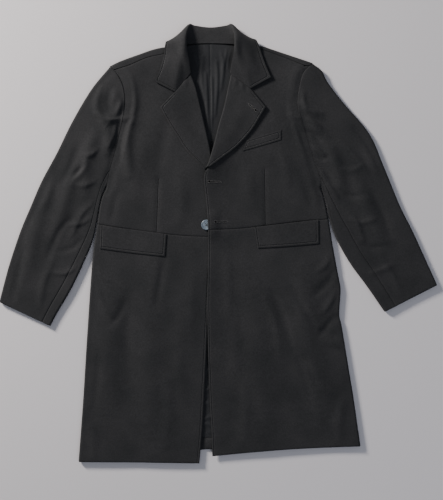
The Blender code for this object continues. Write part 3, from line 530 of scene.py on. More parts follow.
def wool_gabardine():
    wool, tree = new_finish("wool_gabardine_twill")
    weave = add_node(tree, "ShaderNodeUVMap", {"uv_map": "grain"})
    turned = add_node(tree, "ShaderNodeMapping", {"Rotation": (0.0, 0.0, math.radians(TWILL_SLOPE)),
                                                  "Vector": weave.outputs["UV"]})
    wale = add_node(tree, "ShaderNodeTexWave",
                    {"wave_type": "BANDS", "bands_direction": "X", "Distortion": 0.6,
                     "Scale": 2 * math.pi / 20 / (TWILL_WALE * MM), "Detail": 1.0,
                     "Detail Scale": 1.5, "Vector": turned.outputs["Vector"]})
    nap = object_noise(tree, {"Scale": 1 / (NAP_GRAIN * MM), "Detail": 3.0})
    tufts = object_noise(tree, {"Scale": 1 / (TUFT_GRAIN * MM), "Detail": 2.0, "Roughness": 0.7})
    cloud = object_noise(tree, {"Scale": 13.0, "Detail": 4.0, "Roughness": 0.6})
    brushed = add_node(tree, "ShaderNodeMath", {"operation": "MULTIPLY_ADD", 0: nap, 1: 0.7, 2: tufts})
    fibre = add_node(tree, "ShaderNodeMapRange",
                     {"Value": brushed.outputs["Value"], "From Min": 0.62, "From Max": 1.1,
                      "To Min": 0.76, "To Max": 1.24})
    colour = add_node(tree, "ShaderNodeVectorMath",
                      {"operation": "SCALE", 0: two_tones(tree, cloud, (0.3, "27282A"), (0.72, "303032")),
                       "Scale": fibre.outputs["Result"]})
    threads = add_node(tree, "ShaderNodeMath", {"operation": "MULTIPLY_ADD", 0: wale.outputs["Fac"],
                                                1: 0.55, 2: nap})
    weave_bump = add_node(tree, "ShaderNodeBump", {"Strength": 0.45, "Distance": 0.35 * MM,
                                                   "Height": threads.outputs["Value"]})
    # The cloth sinks along a line of stitches and along a dart, as far as the dart's end
    stitched = add_node(tree, "ShaderNodeAttribute", {"attribute_name": "stitched_mm"})
    off_line = add_node(tree, "ShaderNodeMath", {"operation": "SUBTRACT", 0: stitched.outputs["Fac"],
                                                 1: EDGE_STITCH_INSET})
    beside = add_node(tree, "ShaderNodeAttribute", {"attribute_name": "dart_mm"})
    past = add_node(tree, "ShaderNodeAttribute", {"attribute_name": "past_dart_mm"})
    from_dart = add_node(tree, "ShaderNodeMath", {"operation": "ABSOLUTE", 0: beside.outputs["Fac"]})
    to_dart = add_node(tree, "ShaderNodeMath", {"operation": "ADD", 0: from_dart.outputs["Value"],
                                                1: past.outputs["Fac"]})
    groove = add_node(tree, "ShaderNodeMath",
                      {"operation": "MULTIPLY", 0: soft_groove(tree, off_line.outputs["Value"], 1.7),
                       1: soft_groove(tree, to_dart.outputs["Value"], 1.6)})
    bump = add_node(tree, "ShaderNodeBump",
                    {"Strength": 1.0, "Distance": GROOVE_DEPTH * MM, "Height": groove.outputs["Value"],
                     "Normal": weave_bump.outputs["Normal"]})
    surface(tree, {"Base Color": colour.outputs["Vector"], "Normal": bump.outputs["Normal"],
                   "Roughness": 0.88, "IOR": 1.45, "Specular IOR Level": 0.1, "Sheen Weight": 0.06,
                   "Sheen Roughness": 0.5, "Sheen Tint": hex_colour("D4D2CE")})
    return wool


wool = wool_gabardine()


def finish_piece(piece, node, finish, cut=None, area=None):
    """Gives a piece its finish, attaches it and hides the solid that it stands for; cut and area are not
    used.
    """
    piece.data.materials.clear()
    piece.data.materials.append(finish)
    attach(piece, "root")
    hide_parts(node)
    return piece


def side_turn(y):
    """The angle that a front turns under at its side."""
    return math.pi * (1 - ease(y, *SIDE_TURN_HEIGHTS))


def back_panel(side):
    """The outer and inner points of half the back, a column at a time from centre seam to side."""
    centre = smooth_path((side["back_hem"][0], (-14, 0), (-21, 484)))
    outer = joined_path(smooth_path(side["side_low"]), smooth_path(side["side_high"]),
                        smooth_path(side["armhole"]),
                        Path((side["armhole"][-1], side["shoulder_point"])))
    region = patch(centre, outer, smooth_path(side["back_hem"]), smooth_path(side["back_top"]))
    hem_turn = HEM_TURN_DEPTH / centre.length
    share = np.linspace(0.0, 1.0, BACK_COLUMNS + 1)
    top = region(share, 1.0)
    wrapped = ease(np.abs(top[:, 0] - NECK_CENTRE), *SHOULDER_WRAP)
    neck_x = side["shoulder_seam"][0][0]
    shoulder_x = side["armhole"][-1][0]
    along_seam = np.clip((top[:, 0] - neck_x) / (shoulder_x - neck_x), 0.0, 1.0)
    seam = smooth_path(side["shoulder_seam"])(along_seam)
    flat = SEAM_GAP + (NECK_EDGE_FLAT - SEAM_GAP) * (1 - wrapped)
    down = unit(region(share, 0.99) - top)
    over = unit(unit(seam - top) * wrapped[:, None] + down * (1 - wrapped)[:, None])
    inward = np.where((wrapped > 0.5)[:, None], over, down)
    seam_top = coat_top(seam[:, 0], seam[:, 1])
    seam_half = (seam_top - coat_under(seam[:, 0], seam[:, 1])) / 2
    end_half = BACK_CLOTH / 2 + (seam_half - BACK_CLOTH / 2) * wrapped
    edge = top + inward * np.where(wrapped > 0.5, 0.0, flat)[:, None]
    low = floor_height(edge[:, 0], edge[:, 1])
    half = np.full(len(share), BACK_CLOTH / 2)
    reach, turned_outer, turned_inner = turned_edge(
        edge, inward, low + BACK_CLOTH / 2, half, seam_top - seam_half, end_half,
        math.pi * wrapped, SHOULDER_TURN_STEPS)
    turned_outer[..., 2] = np.maximum(turned_outer[..., 2], 0.0)
    length = np.linalg.norm(region(share, 0.95) - top, axis=1) / 0.05
    last = 1 - (reach + flat + TURN_CLEARANCE) / length
    rows = np.concatenate(((0.0, 0.001, 0.0026, hem_turn - HEM_TURN_STEP, hem_turn,
                            hem_turn + HEM_TURN_STEP),
                           np.linspace(hem_turn, outer.joints[3], BACK_ROWS + 1)[1:]))
    more = np.linspace(outer.joints[3], last, SHOULDER_ROWS + 1)[1:].T
    v = np.concatenate((np.broadcast_to(rows, (len(share), len(rows))), more), axis=1)
    side_edge = region(1.0, v[0])
    width = np.linalg.norm(side_edge - region(0.0, v[0]), axis=1)
    fold = (coat_top(side_edge[:, 0], side_edge[:, 1]) - BACK_CLOTH) / 2 + BACK_CLOTH / 2
    finish = 1 - (SEAM_GAP + (fold + SIDE_SEAM_GAP) * side_turn(side_edge[:, 1]) / math.pi) / width
    start = SEAM_GAP / 2 / width
    places = region(start + (finish - start) * share[:, None], v)
    x = places[..., 0]
    y = places[..., 1]
    low = floor_height(x, y)
    turned_up = HEM_TURN_RISE * (1 - ease(v, hem_turn - HEM_TURN_STEP, hem_turn + HEM_TURN_STEP / 2))
    from_side = finish * width - width * share[:, None]
    pressed = fold_heights(UNDERSIDE_CREASES, x, y) * ease(from_side, *CREASE_CLEAR_OF_SIDE)
    outer_grid = np.concatenate((with_height(places, low + pressed), turned_outer), axis=1)
    inner_grid = np.concatenate((with_height(places, low + BACK_CLOTH + turned_up), turned_inner),
                                axis=1)
    over_end = seam + unit(top - seam) * SHOULDER_SEAM_GAP
    flat_end = turned_outer[:, -1, :2] - inward * (flat * 0.9)[:, None]
    end = np.where((wrapped > 0.5)[:, None], over_end, flat_end)
    outer_grid = np.concatenate((outer_grid, with_height(end, turned_outer[:, -1, 2])[:, None]), axis=1)
    inner_grid = np.concatenate((inner_grid, with_height(end, turned_inner[:, -1, 2])[:, None]), axis=1)
    return outer_grid, inner_grid


back_faces = {}
for word, area in (("right", 0.272), ("left", 0.274)):
    outer, inner = back_panel(SIDES[word])
    back_faces[word] = inner
    outer, inner = rounded_rims(outer, inner, "l")
    grain = np.stack((walked(outer, 0) * SIDES[word]["sign"], outer[..., 1]), -1)
    panel = cloth_wall("back_panel_" + word, outer, inner, grain)
    finish_piece(panel, "back_" + word, wool, (365, 1045), area)


# LINING
# Black satin lining of the back, seamed down the centre. It shows in the neck and in the gap
# between the open fronts, where it wrinkles, and it ends just above the turned-up hem.
LINING_LAY = 0.45
LINING_CLOTH = 1.0
LINING_REACH = 15
LINING_COLUMNS = 42
LINING_ROWS = 340
COVERED_WRINKLE = 1.6
OPEN_WRINKLE = 3.4
LINING_SEAM_DIP = 0.7
LINING_SEAM_REACH = 2.2
WRINKLES_START = (-462, -450)
WRINKLES_END = (452, 478)

# Where the neck is open over the lining: heights up the coat, and the lapels' rolls there
OPEN_RIGHT = ((176, 223, 279, 335, 376, 411), (-16, -19, -31, -44, -54, -67))
OPEN_LEFT = ((179, 233, 284, 330, 376, 409), (-32, -13, 0, 13, 23, 30))
OPEN_EASE = 14.0

# Wrinkles of the lining: same columns as the folds
LINING_WRINKLES = (
    (-30, 410, -27, 340, -24, 262, 4.5, 3.0, 0.5),
    (-16, 400, -15, 340, -18, 270, 4.0, 2.4, 0.4),
    (-38, 452, -41, 410, -34, 352, 5.0, 1.9, 0.0),
    (-4, 440, -2, 390, -8, 310, 4.5, 2.4, 0.5),
    (8, 462, 12, 424, 6, 372, 4.5, 2.0, 0.3),
    (22, 478, 18, 452, 12, 424, 4.0, 1.6, 0.3),
    (-62, 474, -58, 450, -50, 420, 5.0, 1.6, 0.0),
    (-50, 478, -48, 462, -44, 440, 4.0, 1.0, 0.0),
    (30, 470, 24, 446, 22, 424, 3.4, 1.0, 0.0),
    (-50, -300, -34, -306, -10, -296, 4.0, 1.6, 0.0),
    (-46, -340, -30, -350, -14, -344, 3.8, 2.0, 0.4),
    (-50, -386, -36, -380, -14, -390, 4.0, 2.2, 0.4),
    (-52, -412, -30, -420, -10, -410, 3.6, 2.4, 0.4),
    (-50, -438, -34, -432, -10, -442, 3.4, 2.4, 0.4),
    (-48, -455, -30, -459, -12, -452, 3.0, 1.6, 0.0),
)


# Lining satin: filament viscose with long floats, so it is smooth. It is dulled by wear: its
# wrinkles catch a weak and broad light, over a black that is a little cool.
def lining_satin():
    satin, tree = new_finish("black_lining_satin")
    threads = object_noise(tree, {"Scale": 1400.0, "Detail": 2.0}, (1.0, 0.12, 1.0))
    bump = add_node(tree, "ShaderNodeBump", {"Strength": 0.25, "Distance": 0.15 * MM, "Height": threads})
    surface(tree, {"Base Color": two_tones(tree, threads, (0.3, "242527"), (0.7, "2E2F32")),
                   "Normal": bump.outputs["Normal"], "Roughness": 0.62, "IOR": 1.45,
                   "Specular IOR Level": 0.12})
    return satin


def refined(grid, *counts):
    """The same grid with this many points along each of its two ways."""
    for axis, count in enumerate(counts):
        place = np.linspace(0, grid.shape[axis] - 1, count)
        low = np.minimum(place.astype(int), grid.shape[axis] - 2)
        share = (place - low).reshape((-1, 1, 1) if axis == 0 else (1, -1, 1))
        grid = np.take(grid, low, axis) * (1 - share) + np.take(grid, low + 1, axis) * share
    return grid


satin = lining_satin()
for word, area in (("right", 0.088), ("left", 0.089)):
    low = refined(back_faces[word][:LINING_REACH, 5:-1], LINING_COLUMNS, LINING_ROWS)
    low[..., 2] += LINING_LAY
    x = low[..., 0]
    y = low[..., 1]
    wrinkles = fold_heights(LINING_WRINKLES, x, y)
    wrinkles = wrinkles * ease(y, *WRINKLES_START) * (1 - ease(y, *WRINKLES_END))
    seam_dip = LINING_SEAM_DIP * np.exp(-((x - x[:1]) / LINING_SEAM_REACH) ** 2)
    in_from_rolls = np.minimum(x - np.interp(y, *OPEN_RIGHT), np.interp(y, *OPEN_LEFT) - x)
    clear = ease(in_from_rolls, 0.0, OPEN_EASE) * (y > OPEN_RIGHT[0][0])
    most = COVERED_WRINKLE + clear * (OPEN_WRINKLE - COVERED_WRINKLE)
    wrinkles = most * np.tanh(wrinkles / most)
    high = with_height(low[..., :2], low[..., 2] + LINING_CLOTH + wrinkles - seam_dip)
    panel = cloth_wall("lining_panel_" + word, high, low, np.stack((walked(high, 0), y), -1))
    finish_piece(panel, "lining_" + word, satin, (132, 965), area)


# FRONTS
# The two fronts above the waist seam, in the same wool. Each has a long dart, runs from the
# lapel's roll and the neck to the armhole, and turns under at its side. The left front lies over
# the right one and is lifted where it does, and again over the button.
SIDES["right"].update({
    "waist": ((-13, 17), (-85, 20), (-160, 28), (-230, 38), (-293, 48)),
    "front_high": ((-13, 17), (-12, 46), (-13, 119), (-16, 176)),
    "roll": ((-16, 176), (-19, 223), (-31, 279), (-44, 335), (-54, 376), (-67, 411)),
    "neckline": ((-67, 411), (-86, 431), (-98, 453), (-104, 464)),
    "dart": ((-144, 158), (-146, 100), (-149, 30)),
})
SIDES["left"].update({
    "waist": ((-25, 34), (48, 37), (120, 45), (195, 54), (266, 60)),
    "front_high": ((-25, 34), (-28, 82), (-33, 131), (-35, 155), (-32, 179)),
    "roll": ((-32, 179), (-24, 197), (-13, 233), (0, 284), (13, 330), (23, 376), (30, 409)),
    "neckline": ((30, 409), (47, 433), (59, 457), (66, 470)),
    "dart": ((112, 180), (113, 110), (114, 45)),
})
LEFT_EDGE_LOW = ((-15, -512), (-17, -450), (-21, -378), (-25, -270), (-27, -160), (-26, -60),
                 (-25, 34))
BUTTON_CENTRE = (-29.0, 46.0)
BUTTON_LIFT = 3.9
BUTTON_LIFT_REACH = (24.0, 26.0)

# How far the left front is lifted: height up the coat, lift; and distance from its edge, share
OVERLAP_LIFT = (
    (-560, 0.0), (-310, 0.0), (-215, 3.7), (120, 3.8), (179, 7.9), (224, 6.4), (278, 3.2), (327, 1.4),
    (372, 0.4), (409, 0.0),
)
OVERLAP_FADE = ((0, 1.0), (9, 1.0), (21, 0.8), (40, 0.42), (60, 0.12), (78, 0.0))
FRONT_EDGE_INSET = 0.2
WAIST_SEAM_INSET = 0.2
LAPEL_SEAM_INSET = 4.4
CLOTH_STEP = 4.0
SIDE_TURN_STEPS = 12
FRONT_SIDE_EASE = 18.0
DART_DIMPLE = 1.1
DART_DIMPLE_REACH = 5.0

# Heights from the lapel's break: where its seam moves in, and how far below it the stitches end
LAPEL_SEAM_START = (-8, 2)
STITCHES_BELOW_BREAK = 6

# How far in from a cut edge the rows beside it are, and the width of a piece that narrows them
RIM_STEPS = (0.0, 1.0, 2.6, 5.2)
NARROW_PIECE = 16.0

# Lines that carry stitches, each in the order it is sewn, and the faces that carry buttonholes
STITCH_ROW_END = 2.0
stitch_rows = []
sewn_faces = {}

left_edge = joined_path(smooth_path(LEFT_EDGE_LOW), smooth_path(SIDES["left"]["front_high"]),
                        smooth_path(SIDES["left"]["roll"]))


def timed(path, shares, times):
    """The same path, walked so that each of its shares is reached at the time beside it."""
    return lambda t: path(np.interp(t, times, shares))


def graded(first, last, length, step):
    """Shares from first to last: close together at both ends, then a step apart; length is in mm."""
    length = np.atleast_1d(np.asarray(length, float))[:, None]
    first = np.broadcast_to(np.atleast_1d(first), (len(length),))[:, None]
    last = np.broadcast_to(np.atleast_1d(last), (len(length),))[:, None]
    rim = np.array(RIM_STEPS) / length
    rim = rim * np.minimum(1.0, (last - first) * length / NARROW_PIECE)
    start = first + rim
    finish = last - rim[:, ::-1]
    count = max(int(np.max((last - first) * length) / step), 2)
    between = np.linspace(0, 1, count + 1)[1:-1]
    middle = start[:, -1:] + (finish[:, :1] - start[:, -1:]) * between
    return np.concatenate((start, middle, finish), axis=1)


def rim_gaps(outer):
    """Distance of each point from each rim: l and r at a row's ends, d and u at a column's."""
    across = walked(outer, 1)
    along = walked(outer, 0)
    return {"l": across, "r": across[:, -1:] - across, "d": along, "u": along[-1:] - along}


def from_rims(outer, rims):
    """Distance of each point from the nearest of the rims that carry a line of stitches."""
    gaps = rim_gaps(outer)
    return np.min([gaps[letter] for letter in rims], axis=0)


def add_stitch_rows(outer, rims, keep=None):
    """Keeps a line of points 5 mm in from each of these rims, cut off where two lines meet."""
    gaps = rim_gaps(outer)
    nearest = from_rims(outer, rims)
    for letter in rims:
        gap = gaps[letter]
        grid = outer
        near = nearest
        if letter in "ud":
            gap = gap.T
            grid = np.swapaxes(grid, 0, 1)
            near = near.T
        if letter in "ru":
            gap = gap[:, ::-1]
            grid = grid[:, ::-1]
            near = near[:, ::-1]
        row = []
        for distances, points, others in zip(gap, grid, near):
            place = [np.interp(EDGE_STITCH_INSET, distances, points[:, axis]) for axis in range(3)]
            clear = np.interp(EDGE_STITCH_INSET, distances, others) > EDGE_STITCH_INSET - 0.05
            if clear and (keep is None or keep(*place)):
                row.append(place)
        if len(row) > 1:
            line = Path(row)
            end = STITCH_ROW_END / line.length
            stitch_rows.append(line(np.linspace(end, 1 - end, len(row))))


def grain_of(outer, sign=1, along=None):
    """The cloth's own coordinates: across it by the way walked, and along it.

    The sign is that of the side, so that the twill leans the same way on both.
    """
    return np.stack((walked(outer, 1) * sign, outer[..., 1] if along is None else along), axis=-1)


def settled(edge_height, heights, near):
    """Heights in each row that settle to the edge's own height where near is 0."""
    return edge_height[:, None] + (heights - edge_height[:, None]) * near


def read_table(table, place):
    """A value read between the rows of a table of places and values."""
    return np.interp(place, [row[0] for row in table], [row[1] for row in table])


def overlap_lift(x, y):
    """How far the left front rises to lie over the right one and over the button."""
    edge_x = np.interp(y, left_edge.points[:, 1], left_edge.points[:, 0])
    rise = read_table(OVERLAP_LIFT, y) * read_table(OVERLAP_FADE, x - edge_x)
    across = (x - BUTTON_CENTRE[0]) / BUTTON_LIFT_REACH[0]
    along = (y - BUTTON_CENTRE[1]) / BUTTON_LIFT_REACH[1]
    return rise + BUTTON_LIFT * np.exp(-(across ** 4 + along ** 4) / 2)


def front_top(side, x, y):
    return coat_top(x, y) + (overlap_lift(x, y) if side["sign"] > 0 else 0.0)


def front_under(side, x, y):
    return coat_under(x, y) + (overlap_lift(x, y) if side["sign"] > 0 else 0.0)


def front_grids(side, region, inset, v):
    """The outer and inner points of a front or a skirt, a row at a time from its front edge."""
    edge = region(np.ones_like(v), v)
    inward = unit(region(np.full_like(v, 0.98), v) - edge)
    start = region(np.zeros_like(v), v)
    width = np.linalg.norm(edge - start, axis=1)
    edge_top = front_top(side, edge[:, 0], edge[:, 1])
    edge_under = front_under(side, edge[:, 0], edge[:, 1])
    half = (edge_top - edge_under) / 2
    low = np.full(len(v), BACK_CLOTH / 2)
    turn = side_turn(edge[:, 1])
    reach, turned_outer, turned_inner = turned_edge(
        edge + inward * SEAM_GAP / 2, inward, edge_top - half, half, low, low, turn, SIDE_TURN_STEPS)
    u = graded(inset(start[:, 1]) / width, 1 - (reach + TURN_CLEARANCE) / width, width,
               CLOTH_STEP)
    places = region(u, v[:, None])
    near = ease((1 - u) * width[:, None], reach[:, None], reach[:, None] + FRONT_SIDE_EASE)
    tops = settled(edge_top, front_top(side, places[..., 0], places[..., 1]), near)
    unders = settled(edge_under, front_under(side, places[..., 0], places[..., 1]), near)
    outer = np.concatenate((with_height(places, tops), turned_outer), axis=1)
    inner = np.concatenate((with_height(places, unders), turned_inner), axis=1)
    return outer, inner


def from_line(points, line):
    """Distance of each point beside a line, less than 0 on its one side, and past its ends."""
    places = smooth_path(line)(np.linspace(0, 1, 60))
    ways = unit(np.gradient(places, axis=0))
    gaps = points[..., None, :2] - places
    nearest = np.argmin(np.linalg.norm(gaps, axis=-1), axis=-1)
    gap = np.take_along_axis(gaps, nearest[..., None, None], axis=-2)[..., 0, :]
    beside = gap[..., 0] * ways[nearest][..., 1] - gap[..., 1] * ways[nearest][..., 0]
    onward = np.sum(gap * ways[nearest], axis=-1)
    past = np.where(nearest == 0, -onward, np.where(nearest == len(places) - 1, onward, 0.0))
    return beside, np.maximum(past, 0.0)


FRONT_CUT = (330, 470)
for word, area in (("right", 0.0937), ("left", 0.0937)):
    side = SIDES[word]
    inner_side = joined_path(*(smooth_path(side[part]) for part in ("front_high", "roll", "neckline")))
    armhole = smooth_path(side["armhole"])
    outer_side = joined_path(smooth_path(side["side_high"]), armhole)
    underarm = outer_side.joints[1]
    times = [0.0]
    for corner in (1, 6):
        times.append(underarm + (1 - underarm) * armhole.shares[corner * CURVE_SAMPLES])
    times.append(1.0)
    region = patch(timed(inner_side, inner_side.joints, times), outer_side,
                   smooth_path(side["waist"]), smooth_path(side["shoulder_seam"]))
    rows = graded(WAIST_SEAM_INSET / outer_side.length, 1 - SHOULDER_SEAM_GAP / outer_side.length,
                  outer_side.length, CLOTH_STEP)[0]
    break_height = side["roll"][0][1]
    stitches_end = break_height - STITCHES_BELOW_BREAK
    outer, inner = front_grids(
        side, region,
        lambda y: FRONT_EDGE_INSET + LAPEL_SEAM_INSET * ease(y - break_height, *LAPEL_SEAM_START),
        rows)
    stitched = from_rims(outer, "l") + NO_STITCHES_NEAR * (outer[..., 1] > stitches_end)
    beside, past = from_line(outer, side["dart"])
    dimple = DART_DIMPLE * np.exp(-(beside ** 2 + past ** 2) / DART_DIMPLE_REACH ** 2)
    outer[..., 2] -= dimple
    inner[..., 2] -= dimple
    add_stitch_rows(outer, "l", lambda x, y, z: y < stitches_end)
    sewn_faces["front_" + word] = outer
    outer, inner = rounded_rims(outer, inner, "udl")
    panel = cloth_wall("front_panel_" + word, outer, inner, grain_of(outer, side["sign"]), stitched,
                       beside, past)
    finish_piece(panel, "front_" + word, wool, FRONT_CUT, area)


# SKIRTS
# The lower part of each front, sewn to it at the waist seam. It falls almost smooth to a deep
# pressed hem, and the fronts part below the overlap and show the lining.
SIDES["right"].update({
    "hem": ((-46, -529), (-190, -527), (-338, -526)),
    "front_low": ((-46, -529), (-39, -450), (-35, -378), (-27, -215), (-21, -87), (-13, 17)),
})
SIDES["left"].update({
    "hem": ((-15, -512), (88, -502), (197, -494), (343, -488)),
    "front_low": LEFT_EDGE_LOW,
})
SKIRT_CUT = (400, 590)
for word, area in (("right", 0.167), ("left", 0.184)):
    side = SIDES[word]
    side_low = smooth_path(side["side_low"])
    region = patch(smooth_path(side["front_low"]), side_low, smooth_path(side["hem"]),
                   smooth_path(side["waist"]))
    rows = graded(0.0, 0.9996, side_low.length, CLOTH_STEP)[0]
    outer, inner = front_grids(side, region, lambda y: np.full(len(y), FRONT_EDGE_INSET), rows)
    stitched = from_rims(outer, "l")
    add_stitch_rows(outer, "l")
    outer, inner = rounded_rims(outer, inner, "udl")
    panel = cloth_wall("skirt_panel_" + word, outer, inner, grain_of(outer, side["sign"]), stitched)
    finish_piece(panel, "skirt_" + word, wool, SKIRT_CUT, area)


# POCKETS
# Two slanting flaps caught in the waist seam, and a welt on the wearer's left breast. Each is two
# layers of wool, turned out and pressed, with a line of stitches along its edges.
SIDES["right"]["flap"] = ((-284, 45), (-125, 24), (-129, -30), (-286, -11))
SIDES["left"]["flap"] = ((86, 41), (241, 59), (242, 1), (94, -10))
WELT_CORNERS = ((69, 250), (151, 275), (151, 251), (58, 224))
FLAP_CLOTH = 1.9
FLAP_LAY = 0.4
WELT_CLOTH = 1.0
WELT_LAY = 0.3
TRIM_STEP = 3.0
TRIM_BULGE = 0.02


def trim_piece(name, node, side, corners, lay, cloth, rims, cut, area):
    """A flap or welt that lies on its front: corners run round it from its sewn edge."""
    a, b, c, d = (np.array(corner, dtype=float) for corner in corners)
    u = graded(0.0, 1.0, np.linalg.norm(b - a), TRIM_STEP)
    v = graded(0.0, 1.0, np.linalg.norm(d - a), TRIM_STEP).T
    v = v * (1.0 + TRIM_BULGE * np.sin(math.pi * u) * v)
    u, v = np.broadcast_arrays(u, v)
    u = u[..., None]
    v = v[..., None]
    places = (a * (1 - u) + b * u) * (1 - v) + (d * (1 - u) + c * u) * v
    base = front_top(side, places[..., 0], places[..., 1]) + lay
    outer = with_height(places, base + cloth)
    inner = with_height(places, base)
    stitched = from_rims(outer, rims)
    add_stitch_rows(outer, rims)
    outer, inner = rounded_rims(outer, inner)
    piece = cloth_wall(name, outer, inner, grain_of(outer), stitched)
    finish_piece(piece, node, wool, cut, area)


for word in ("right", "left"):
    trim_piece("pocket_flap_" + word, "flap_" + word, SIDES[word], SIDES[word]["flap"], FLAP_LAY,
               FLAP_CLOTH, "lru", (165, 62), 0.009)
trim_piece("breast_welt", "chest_welt", SIDES["left"], WELT_CORNERS, WELT_LAY, WELT_CLOTH, "lrud",
           (95, 29), 0.0024)


# SLEEVES
# Two-piece sleeves: a top sleeve round the outer fold and an under sleeve round the inner fold,
# seamed along the front of the arm and again below. Their heads are eased into the armholes,
# which leaves soft ridges, and the sleeves lie flat beside the body.
SIDES["right"].update({
    "sleeve_outer": ((-262, 428), (-307, 373), (-353, 295), (-390, 220), (-427, 151), (-455, 86),
                     (-478, 31), (-506, -53), (-529, -140)),
    "sleeve_inner": ((-270.8, 143), (-285, 104), (-295, 48), (-301, 17), (-315, -22), (-353, -104),
                     (-390, -168), (-406, -198)),
    "sleeve_seam": ((0.0, 0.113), (0.2, 0.12), (0.5, 0.13), (1.0, 0.16)),
})
SIDES["left"].update({
    "sleeve_outer": ((227, 436), (250, 417), (264, 390), (302, 340), (364, 266), (399, 187),
                     (439, 90), (471, 26), (528, -99)),
    "sleeve_inner": ((249, 138), (257.5, 106), (268, 60), (286, 10), (318, -47), (359, -103),
                     (401, -164)),
    "sleeve_seam": ((0.0, 0.085), (0.2, 0.16), (0.5, 0.23), (1.0, 0.21)),
})
SLEEVE_BACK_SEAM = 0.84
SLEEVE_FOLD_EASE = 14.0
UNDERSIDE_POINTS_OF_TOP = 9
UNDERSIDE_POINTS_OF_UNDER = 26
ARMHOLE_GAP = 0.3

# Powers by which the sleeve's head and the start of its seam fade towards the cuff
HEAD_FADE = 4
SEAM_START_FADE = 30


def sleeve_region(side):
    """The flat sleeve: u from its inner fold to its outer fold, v from armhole to cuff."""
    inner = smooth_path(side["sleeve_inner"])
    outer = smooth_path(side["sleeve_outer"])
    armhole = smooth_path(side["armhole"])
    places = np.vstack((armhole.points, (side["shoulder_point"],)))
    ways = unit(np.gradient(places, axis=0))
    aside = np.column_stack((-ways[:, 1], ways[:, 0])) * -side["sign"] * ARMHOLE_GAP
    head = Path(places + aside)
    inner_start = head(0.0) - inner(0.0)
    outer_start = head(1.0) - outer(0.0)
    cuff = Path((inner(1.0), outer(1.0)))

    def inner_side(v):
        slow = v * (1 - 0.9 * (1 - v) ** 3)
        return inner(slow) + inner_start * ((1 - v) ** HEAD_FADE)[..., None]

    def outer_side(v):
        return outer(v) + outer_start * ((1 - v) ** HEAD_FADE)[..., None]

    region = patch(inner_side, outer_side, head, cuff)
    return region, head.shares[CURVE_SAMPLES], outer.length


def sleeve_grids(side, upper):
    """A top sleeve, round the outer fold, or an under sleeve, round the inner fold."""
    region, seam_start, length = sleeve_region(side)
    v = graded(0.0, 1.0, length, CLOTH_STEP)[0] ** 1.1
    across = region(np.ones_like(v), v) - region(np.zeros_like(v), v)
    width = np.linalg.norm(across, axis=1)
    seam_rows = np.array(side["sleeve_seam"])
    seam = np.interp(v, seam_rows[:, 0], seam_rows[:, 1])
    seam = seam + (seam_start - seam[0]) * (1 - v) ** SEAM_START_FADE
    toward = -1 if upper else 1
    edge_u = np.full_like(v, 1.0 if upper else 0.0)
    edge = region(edge_u, v)
    inward = unit(region(edge_u + 0.015 * toward, v) - edge)
    edge_top = coat_top(edge[:, 0], edge[:, 1])
    edge_under = coat_under(edge[:, 0], edge[:, 1])
    half = (edge_top - edge_under) / 2
    low = np.full(len(v), BACK_CLOTH / 2)
    reach, turned_outer, turned_inner = turned_edge(
        edge, inward, edge_top - half, half, low, low, np.full(len(v), math.pi), SIDE_TURN_STEPS)
    gap = (SEAM_GAP / 2 + 0.05) / width
    first = seam - toward * gap
    last = edge_u + toward * (reach + TURN_CLEARANCE) / width
    if upper:
        u = graded(first, last, width, CLOTH_STEP)
    else:
        u = -graded(-first, -last, width, CLOTH_STEP)
    places = region(u, v[:, None])
    from_edge = np.abs(edge_u[:, None] - u) * width[:, None]
    near = ease(from_edge, reach[:, None], reach[:, None] + SLEEVE_FOLD_EASE)
    tops = settled(edge_top, coat_top(places[..., 0], places[..., 1]), near)
    unders = settled(edge_under, coat_under(places[..., 0], places[..., 1]), near)
    finish = SLEEVE_BACK_SEAM - toward * gap
    count = UNDERSIDE_POINTS_OF_TOP if upper else UNDERSIDE_POINTS_OF_UNDER
    below = last[:, None] + (finish - last)[:, None] * np.linspace(0, 1, count)[1:]
    under_places = region(below, v[:, None])
    outer = np.concatenate((with_height(places, tops), turned_outer,
                            with_height(under_places, np.zeros(below.shape))), axis=1)
    inner = np.concatenate((with_height(places, unders), turned_inner,
                            with_height(under_places, np.full(below.shape, BACK_CLOTH))), axis=1)
    return outer, inner, v * length


SLEEVE_CUTS = {"top": (205, 650), "under": (165, 600)}
SLEEVE_AREAS = {("right", "top"): 0.1035, ("right", "under"): 0.0712,
                ("left", "top"): 0.1018, ("left", "under"): 0.0756}
for (word, half), area in SLEEVE_AREAS.items():
    outer, inner, along = sleeve_grids(SIDES[word], half == "top")
    outer, inner = rounded_rims(outer, inner, "udlr" if half == "top" else "udl")
    sign = SIDES[word]["sign"] * (-1 if half == "under" else 1)
    grain = grain_of(outer, sign, -np.broadcast_to(along[:, None], outer.shape[:2]))
    panel = cloth_wall("%s_sleeve_panel_%s" % (half, word), outer, inner, grain)
    finish_piece(panel, "%s_sleeve_%s" % (half, word), wool, SLEEVE_CUTS[half], area)


# LAPELS
# The facing turned back over each front, with a round roll down to the break of the lapel and a
# notch where the collar meets it. A line of stitches runs 5 mm in from its edge.
SIDES["right"].update({
    "lapel_foot": ((-17, 191), (-33, 179)),
    "lapel_edge": ((-33, 179), (-56, 203), (-79, 228), (-99, 259), (-120, 292), (-140, 329)),
    "notch": (-105, 366),
    "collar_point": (-154, 391),
})
SIDES["left"].update({
    "lapel_foot": ((-30, 184), (-21, 186)),
    "lapel_edge": ((-21, 186), (13, 210), (43, 233), (68, 259), (84, 279), (99, 304), (114, 329)),
    "notch": (77, 374),
    "collar_point": (126, 401),
})
LAPEL_CLOTH = 3.0
LAPEL_LAY = 0.9
LAPEL_EASE = 12.0
LAPEL_POINT_LIFT = 2.2
LAPEL_STEP = 3.4
NOTCH_SHARE = 0.483
NOTCH_COLUMN = 18

